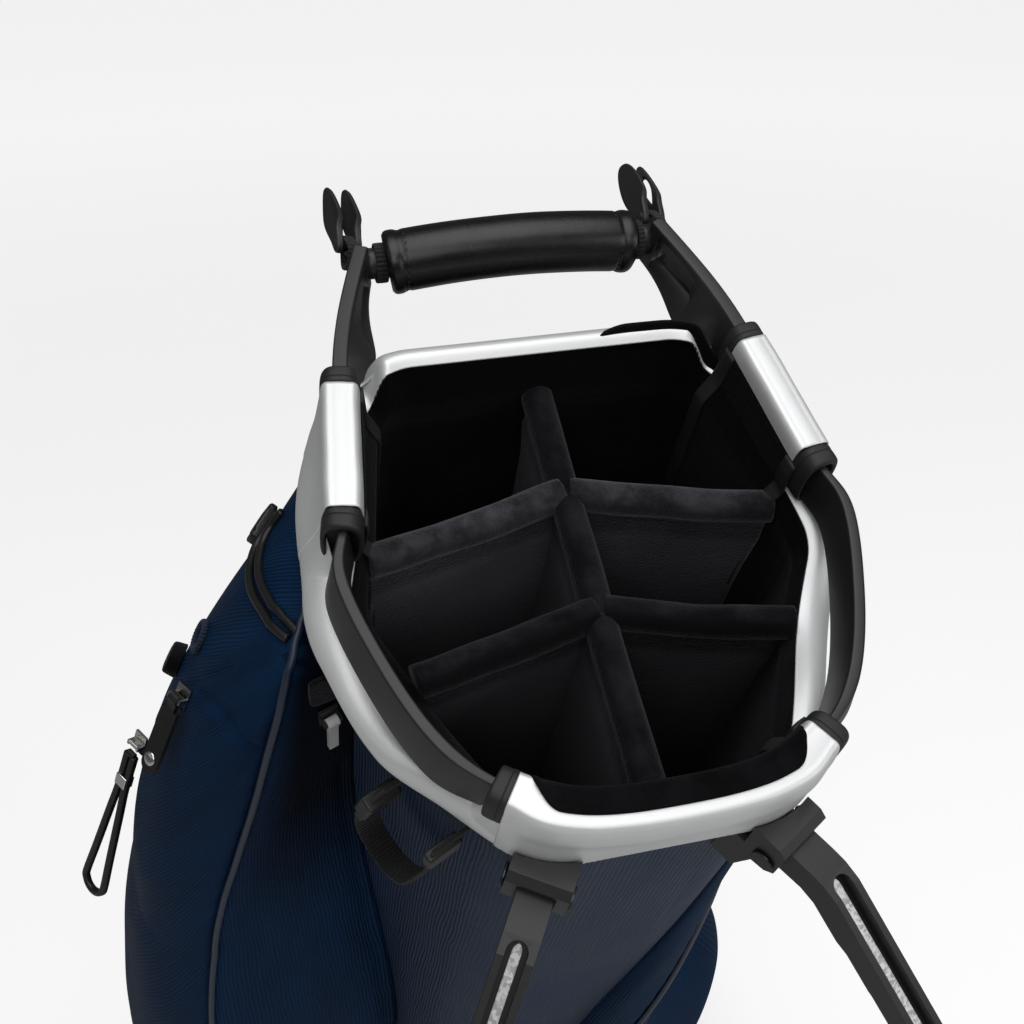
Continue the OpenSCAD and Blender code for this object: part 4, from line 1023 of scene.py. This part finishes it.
def turned(name, place, centre, profile, paint, **more):
    """Profile of (radius, height) turned about the place's z axis."""
    a = round_angles(48)
    r, z = np.asarray(profile, float).T[..., None]
    p = stacked(r * np.cos(a), r * np.sin(a), z)
    return surface(name, place(p + centre), paint, wrap=(False, True), caps=True, **more)


def outward(place):
    """Direction of a place's z axis."""
    return place([0, 0, 1]) - place([0, 0, 0])


SLIDER = on_left(15, 12, True, math.radians(30))
LOOP = on_left(13, 9, True, math.radians(50))

# CAD nodes of the trim that keep their shape: finish, rounding, body and slot
TRIM_COPIES = {"zip_slider": (silver_metal, 0.45, "bag", "silver_metal"),
               "loop_mount": (silver_metal, 0.45, "bag", "silver_metal"),
               "bar_mount": (black_plastic, 0.45, "bag", "black_plastic"),
               "bar_pull": (bright_nickel, 0.9, "bar_pull", "silver_metal"),
               "loop_clamp": (silver_metal, 0.7, "loop_pull", "silver_metal"),
               "zip_tab": (black_leather, 0, "zip_pull", "black_leather")}


def groove(p):
    """Two grooves across the toggle's outer face."""
    return stacked(0, 0, -0.9 * np.exp(-((np.abs(p[..., 0]) - 8) / 1.0) ** 2) * (p[..., 2] > 0))


def build_cord_ring():
    """Ring of twisted cord: its section has lobes that turn fourteen times about it on the way round."""
    radius, steps, sides = 8, 160, 18
    a, b = round_angles(steps)[:, None], round_angles(sides)
    r = 1.45 + 0.25 * np.abs(np.cos(b + 14 * a))
    ring = stacked((radius + r * np.cos(b)) * np.cos(a), (radius + r * np.cos(b)) * np.sin(a), r * np.sin(b))
    uv = stacked(np.linspace(0, 0.05, steps + 1)[:, None], np.linspace(0, 0.0107, sides + 1))
    surface("cord_ring", on_left(13, 12)(ring + [-7, 7, 1.8]), navy_cord, wrap=(True, True), uv=uv, flip=True,
            nodes=("cord_loop",), slot="navy_cord")


def build_loop_pull():
    """Long loop of leather band, wider to its round lower end, with a short eye across its top."""
    deep, r, low = 5.0, 9.2, -126 + 11.0 - 0.1
    half = [(3.0, -8), (3.0, -34), (4.6, -55), (7.2, -90), (r, low)]
    bend = [(r * math.cos(t), low - r * math.sin(t)) for t in np.radians([30, 60, 90])]
    flat = along(np.array(half + bend + [(-x, y) for x, y in (half + bend[:2])[::-1]]), 150)
    band = LOOP(stacked(flat[:, 0], flat[:, 1], deep))
    tube("loop_band", band, round_section(4.6, 4.6, 16, 3.0), black_leather, up=outward(LOOP),
         body="loop_pull", nodes=("loop_pull",), slot="black_leather")
    tube("loop_eye", LOOP(stacked(np.linspace(-3, 3, 12), -7.5, deep)), round_section(4.4, 3.6, 16, 3.0),
         black_leather, up=outward(LOOP), body="loop_pull", slot="black_leather")


def build_trim():
    """Toggle, puck, cord loop, patch and the three pulls on the left pocket."""
    block("toggle_tab", on_left(9, 13), [-10, 4.5, 3], [24, 13, 6], black_leather, 4.5, groove,
          nodes=("pocket_toggle",), slot="black_plastic")
    puck = [(9.6, 0)] + [(10 - 0.1 * k, 0.4 + 0.9 * k) for k in range(6)]
    edge = np.radians(np.linspace(0, 90, 8))
    puck += [(9.4 - 1.6 * (1 - math.cos(a)), 5.4 + 2.2 * math.sin(a)) for a in edge]
    puck += [(6, 7.9), (2.5, 8.0), (0.6, 8.0)]
    pad = turned("puck_velour", on_left(12, 11), [0, 0, 0], puck, black_plush, nodes=("pocket_puck",),
                 slot="black_plush")
    build_cord_ring()
    patch = block("patch_plush", on_left(24, 14), [1.5, 14.5, 1.5], [19, 25, 3], black_plush, 6.0,
                  nodes=("plush_patch",), slot="black_plush")
    for node, (paint, width, body, slot) in TRIM_COPIES.items():
        rounded_copy(node, paint, width, body, slot)
    seam = SLIDER(stacked(0, np.linspace(-9, -43, 40), 6.25))
    stitches("tab_stitches", seam, np.broadcast_to(outward(SLIDER), seam.shape), thread, 2.6, 1.8, 0.4,
             body="zip_pull", slot="black_leather")
    dome = [(4.0, 0.05), (4.0, 0.35), (3.7, 0.8), (2.9, 1.2), (1.8, 1.42), (0.5, 1.48)]
    turned("rivet_dome", SLIDER, [0, -39, 6.3], dome, silver_metal, body="zip_pull", nodes=("tab_rivet",),
           slot="silver_metal")
    build_loop_pull()


build_trim()


# Buckled strap on the front left face

FACE_AT = outline(60.0, SKIN_R)[0]
FACE_TURN = math.atan2(STEPS[4, 1], STEPS[4, 0])


def on_face(v):
    """Places on the front left face: x to the front, y up from the frame's top, z outwards."""
    v = np.asarray(v, float)
    flat = np.stack([v[..., 0], -v[..., 2], v[..., 1]], -1) @ spin_about("Z", FACE_TURN).T
    return flat + np.array([FACE_AT[0], FACE_AT[1], BAG_H])


# Runs of the webbing: points on the face, distance from it and width
STRAPS = {"upper": ([(-37, -56), (-44.5, -87), (-46.1, -93.5)], 0, 26),
          "lower": ([(-56.13, -137.3), (-58.5, -149), (-54, -162), (-41, -168), (-28, -163), (-18, -147),
                     (-6, -97), (-3.2, -72.3)], 12, 14),
          "end": ([(-2.2, -60.7), (-1.7, -56), (-1.4, -53)], 0, 26)}


def build_strap():
    """Flat webbing on edge along its line, with its weave, and the three plastic pieces on it."""
    for name, (pts, out, wide) in STRAPS.items():
        flat = along(np.array(pts, float), 90)
        path = on_face(stacked(flat[:, 0], flat[:, 1], out + wide / 2))
        tube("strap_" + name, path, round_section(1.9, wide, 28, 6.0), black_webbing, up=outward(on_face),
             nodes=("strap_webbing",), slot="black_webbing")
    for node in ("buckle_socket", "buckle_plug", "ladder_lock"):
        rounded_copy(node, black_plastic, 1.5, "bag", "black_plastic", segments=4)


build_strap()


# Strap loops and clips beside the grip

CLIP_AT = np.array([84, GRIP_Y + 17, BAG_H - 16])


def at_clip(side, v):
    """Places at a clip's bar: x along the bar, y towards the leaf tips."""
    return np.asarray(v, float) @ spin_about("Y", math.radians(15)).T + CLIP_AT * [side, 1, 1]


def build_loop(side, name):
    """Webbing round the grip's bar, a tongue to the clip and a drop-shaped tunnel round the clip's bar."""
    looks = {"nodes": (f"strap_loop_{name}",), "slot": "black_webbing"}
    a = round_angles(72)
    c, s = np.cos(a), np.sin(a)
    core, round_end, tip, back = 9.4, 8.6, 3.9, -6
    ring = stacked(side * 69.55, GRIP_Y + core * c, GRIP_Z + core * s)
    tube(f"loop_band_{name}", ring, round_section(2.0, 6.2, 16, 5.0), black_webbing, up=(1, 0, 0),
         closed=True, **looks)
    f = np.linspace(0, 1, 40)
    x, y = side * mix(70.5, CLIP_AT[0], smooth(f)), mix(GRIP_Y + 8.6, CLIP_AT[1] - 5.5, f)
    tube(f"loop_tongue_{name}", stacked(x, y, CLIP_AT[2]), round_section(1.9, 6.0, 16, 5.0), black_webbing,
         up=(1, 0, 0), **looks)
    fat = mix(round_end, tip, smooth((c + 1) / 2))
    drop = stacked(0, np.where(c < 0, back + round_end * c, mix(back, tip, c)), fat * s)
    tube(f"loop_tunnel_{name}", at_clip(side, drop), round_section(2.0, 6.0, 16, 5.0), black_webbing,
         up=at_clip(0, [1, 0, 0]) - at_clip(0, [0, 0, 0]), closed=True, **looks)


def build_leaf(side, name, end):
    """Leaf at one end of a clip's bar: a tapering oval plate that twists by 34 degrees. The right clip's
    outer leaf has a slot, and its inner one is broad."""
    broad, slotted = side > 0 > end, side > 0 and end > 0
    half = 1.75
    t = round_angles(96)
    y = 17 + 22.8 * np.cos(t)
    taper = mix(1.0, 0.95 if broad else 0.66, smooth((y - 4) / 36))
    plate = y, (7.4 if broad else 6.6) * signed_power(np.sin(t), 0.8) * taper
    rings = [(*plate, -half), (*plate, half)]
    if slotted:
        y = 20.5 + 10.5 * np.cos(t)
        hole = y, 2.5 * np.sin(t) * mix(0.6, 1.0, smooth((y - 10) / 16))
        rings = [(*plate, half), (*hole, half), (*hole, -half), (*plate, -half)]
    y, w, h = np.moveaxis(np.stack([stacked(*ring) for ring in rings]), -1, 0)
    twist = math.radians(34) * smooth((y - 4) / 16)
    c, s = np.cos(twist), np.sin(twist)
    leaf = surface(f"clip_leaf_{name}_{'inner' if end * side < 0 else 'outer'}",
                   at_clip(side, stacked(end * 5.05 + h * c + w * s, y, w * c - h * s)), black_plastic,
                   wrap=(slotted, True), caps=not slotted, body=f"clip_{name}", nodes=(f"strap_clip_{name}",),
                   slot="black_plastic", sharp=40)
    round_edges(leaf, 0.9, 3, 50)


def build_clip(side, name):
    """Clip: a round bar with a leaf at each end."""
    bar = at_clip(side, stacked(np.linspace(-7.2, 7.2, 12), 0, 0))
    tube(f"clip_bar_{name}", bar, round_section(4.9, 4.9, 20), black_plastic, body=f"clip_{name}",
         nodes=(f"strap_clip_{name}",), slot="black_plastic")
    for end in (-1, 1):
        build_leaf(side, name, end)


for side, name in SIDES:
    build_loop(side, name)
    build_clip(side, name)


# Base, rocker and legs

# CAD nodes of the base, and of each leg: finish, rounding, body, slot and steps of the rounding
BASE_COPIES = {"base_cup": (black_plastic, 2.2, "bag", "black_plastic"),
               "rocker_foot": (black_plastic, 0, "rocker", "black_plastic"),
               "rocker_sole": (black_rubber, 0.8, "rocker", "rubber"),
               "rocker_pin": (steel, 0.4, "bag", "steel"),
               "push_rods": (steel, 0.5, "rods", "steel"),
               "rod_guides": (black_plastic, 0.6, "bag", "black_plastic")}
LEG_COPIES = {"bracket": (frame_plastic, 2.4, "bag", "black_plastic", 4),
              "pin": (dark_steel, 0.5, "bag", "steel", 3),
              "spring": (steel, 0.3, "bag", "steel", 3),
              "housing": (black_plastic, 1.5, "leg", "black_plastic", 4),
              "inlay": (inlay_weave, 0.3, "leg", "silver_mesh", 3),
              "tube": (aluminium, 0.4, "leg", "aluminium", 3),
              "foot": (black_rubber, 0.8, "leg", "rubber", 3)}
INLAY_LESS = 4.2


def narrow(obj, less):
    """Draws a strip in by less mm along its two longest axes, which the spread of its corners gives."""
    v = np.empty(3 * len(obj.data.vertices), np.float32)
    obj.data.vertices.foreach_get("co", v)
    v = v.reshape(-1, 3).astype(float)
    mid = (v.min(0) + v.max(0)) / 2
    axes = np.linalg.svd(v - v.mean(0), full_matrices=False)[2]
    at = (v - mid) @ axes.T
    size = np.ptp(at, 0)
    at[:, :2] *= (size[:2] - less / MM_PER_M) / size[:2]
    obj.data.vertices.foreach_set("co", (mid + at @ axes).astype(np.float32).ravel())
    obj.data.update()


def build_stand():
    """Moulded pieces of the base and the legs: the solids with their edges rounded, the inlays narrower."""
    for node, looks in BASE_COPIES.items():
        rounded_copy(node, *looks)
    for _, name in SIDES:
        for piece, (paint, width, body, slot, segments) in LEG_COPIES.items():
            rides = "leg_" + name if body == "leg" else body
            copy = rounded_copy(f"leg_{piece}_{name}", paint, width, rides, slot, segments)
            if piece == "inlay":
                narrow(copy, INLAY_LESS)


build_stand()


# Camera, light and floor

CAMERA_AT = (-158.2, -274.9, 1358.9)
CAMERA_AXES = ((0.9699, -0.2184, 0.1079), (0.1297, 0.8381, 0.5301), (-0.2062, -0.5001, 0.8411))
CAMERA_LENS = 45.35
FLOOR_HALF = 60.0
FLOOR_NEAR = 0.66
FLOOR_FAR = 0.16
SKY_LIGHT = 0.09
SKY_SEEN = 0.88

# Lamps: place, aim, size and power
LAMPS = {"overhead": ((0.1, -0.7, 3.1), (0, -0.3, 0.7), 2.4, 37),
         "front": ((-0.5, -2.3, 2.1), (0, -0.35, 0.75), 1.3, 13),
         "right_front": ((2.3, -2.4, 1.5), (0, -0.3, 0.6), 1.8, 19),
         "left_side": ((-2.6, -0.6, 1.9), (0, -0.3, 0.6), 1.6, 2.2)}


def lean_axis(v):
    """Direction in the bag's frame to the solids' frame."""
    return stand(np.asarray(v, float) + SOLE) * MM_PER_M


def place_at(obj, axes, at):
    """Sets an object's place and its three axes."""
    obj.matrix_world = Matrix([[*(axis[k] for axis in axes), at[k]] for k in range(3)] + [[0, 0, 0, 1]])


def build_camera():
    """Camera at the photograph's place, with its right, up and back axes, in the bag's frame."""
    data = bpy.data.cameras.new("view")
    data.lens, data.sensor_width, data.clip_end = CAMERA_LENS, 36.0, 100.0
    cam = add("view", data)
    place_at(cam, [lean_axis(v) for v in CAMERA_AXES], stand(CAMERA_AT))
    bpy.context.scene.camera = cam


def area_light(name, at, aim, size, power):
    """Square soft light at a place, facing another."""
    data = bpy.data.lights.new(name, "AREA")
    data.shape, data.size, data.energy = "SQUARE", size, power
    back = unit(np.asarray(at, float) - aim)
    side = unit(np.cross([0.01, 1, 0.02], back))
    place_at(add(name, data), (side, np.cross(back, side), back), at)


def build_floor():
    """Pale floor that keeps the object's shadow, lit a little for the camera alone, and more so far away."""
    mesh = bpy.data.meshes.new("floor")
    corners = [(x * FLOOR_HALF, y * FLOOR_HALF, 0) for x, y in ((-1, -1), (1, -1), (1, 1), (-1, 1))]
    mesh.from_pydata(corners, [], [(0, 1, 2, 3)])
    p = Paint("floor_pale", Specular_IOR_Level=0.0, Roughness=1.0, Emission_Strength=1.0)
    at = p.place()
    away = p.node("VectorMath", {"operation": "LENGTH"}, {0: at}, out="Value").between(0.6, 5.0)
    seen = p.node("LightPath", out="Is Camera Ray")
    p.feed(Base_Color=p.blend((0.60, 0.60, 0.60), (0.62, 0.62, 0.62), p.noise(at, 3, 2)),
           Emission_Color=p.blend((0, 0, 0), (1, 1, 1), seen * (away * FLOOR_FAR + FLOOR_NEAR)))
    mesh.materials.append(p.material)
    add("floor", mesh)


def build_sky():
    """Even sky that lights the object a little and is pale where the camera sees it."""
    world = bpy.data.worlds.new("studio")
    world.use_nodes = True
    nodes, links = world.node_tree.nodes, world.node_tree.links
    sky = nodes["Background"].inputs
    sky["Color"].default_value = (1, 1, 1, 1)
    light_path, strength = nodes.new("ShaderNodeLightPath"), nodes.new("ShaderNodeMapRange")
    strength.inputs["To Min"].default_value = SKY_LIGHT
    strength.inputs["To Max"].default_value = SKY_SEEN
    links.new(light_path.outputs["Is Camera Ray"], strength.inputs["Value"])
    links.new(strength.outputs[0], sky["Strength"])
    bpy.context.scene.world = world


build_camera()
build_floor()
build_sky()
for name, lamp in LAMPS.items():
    area_light(name, *lamp)
bpy.context.scene.view_settings.view_transform = "Standard"
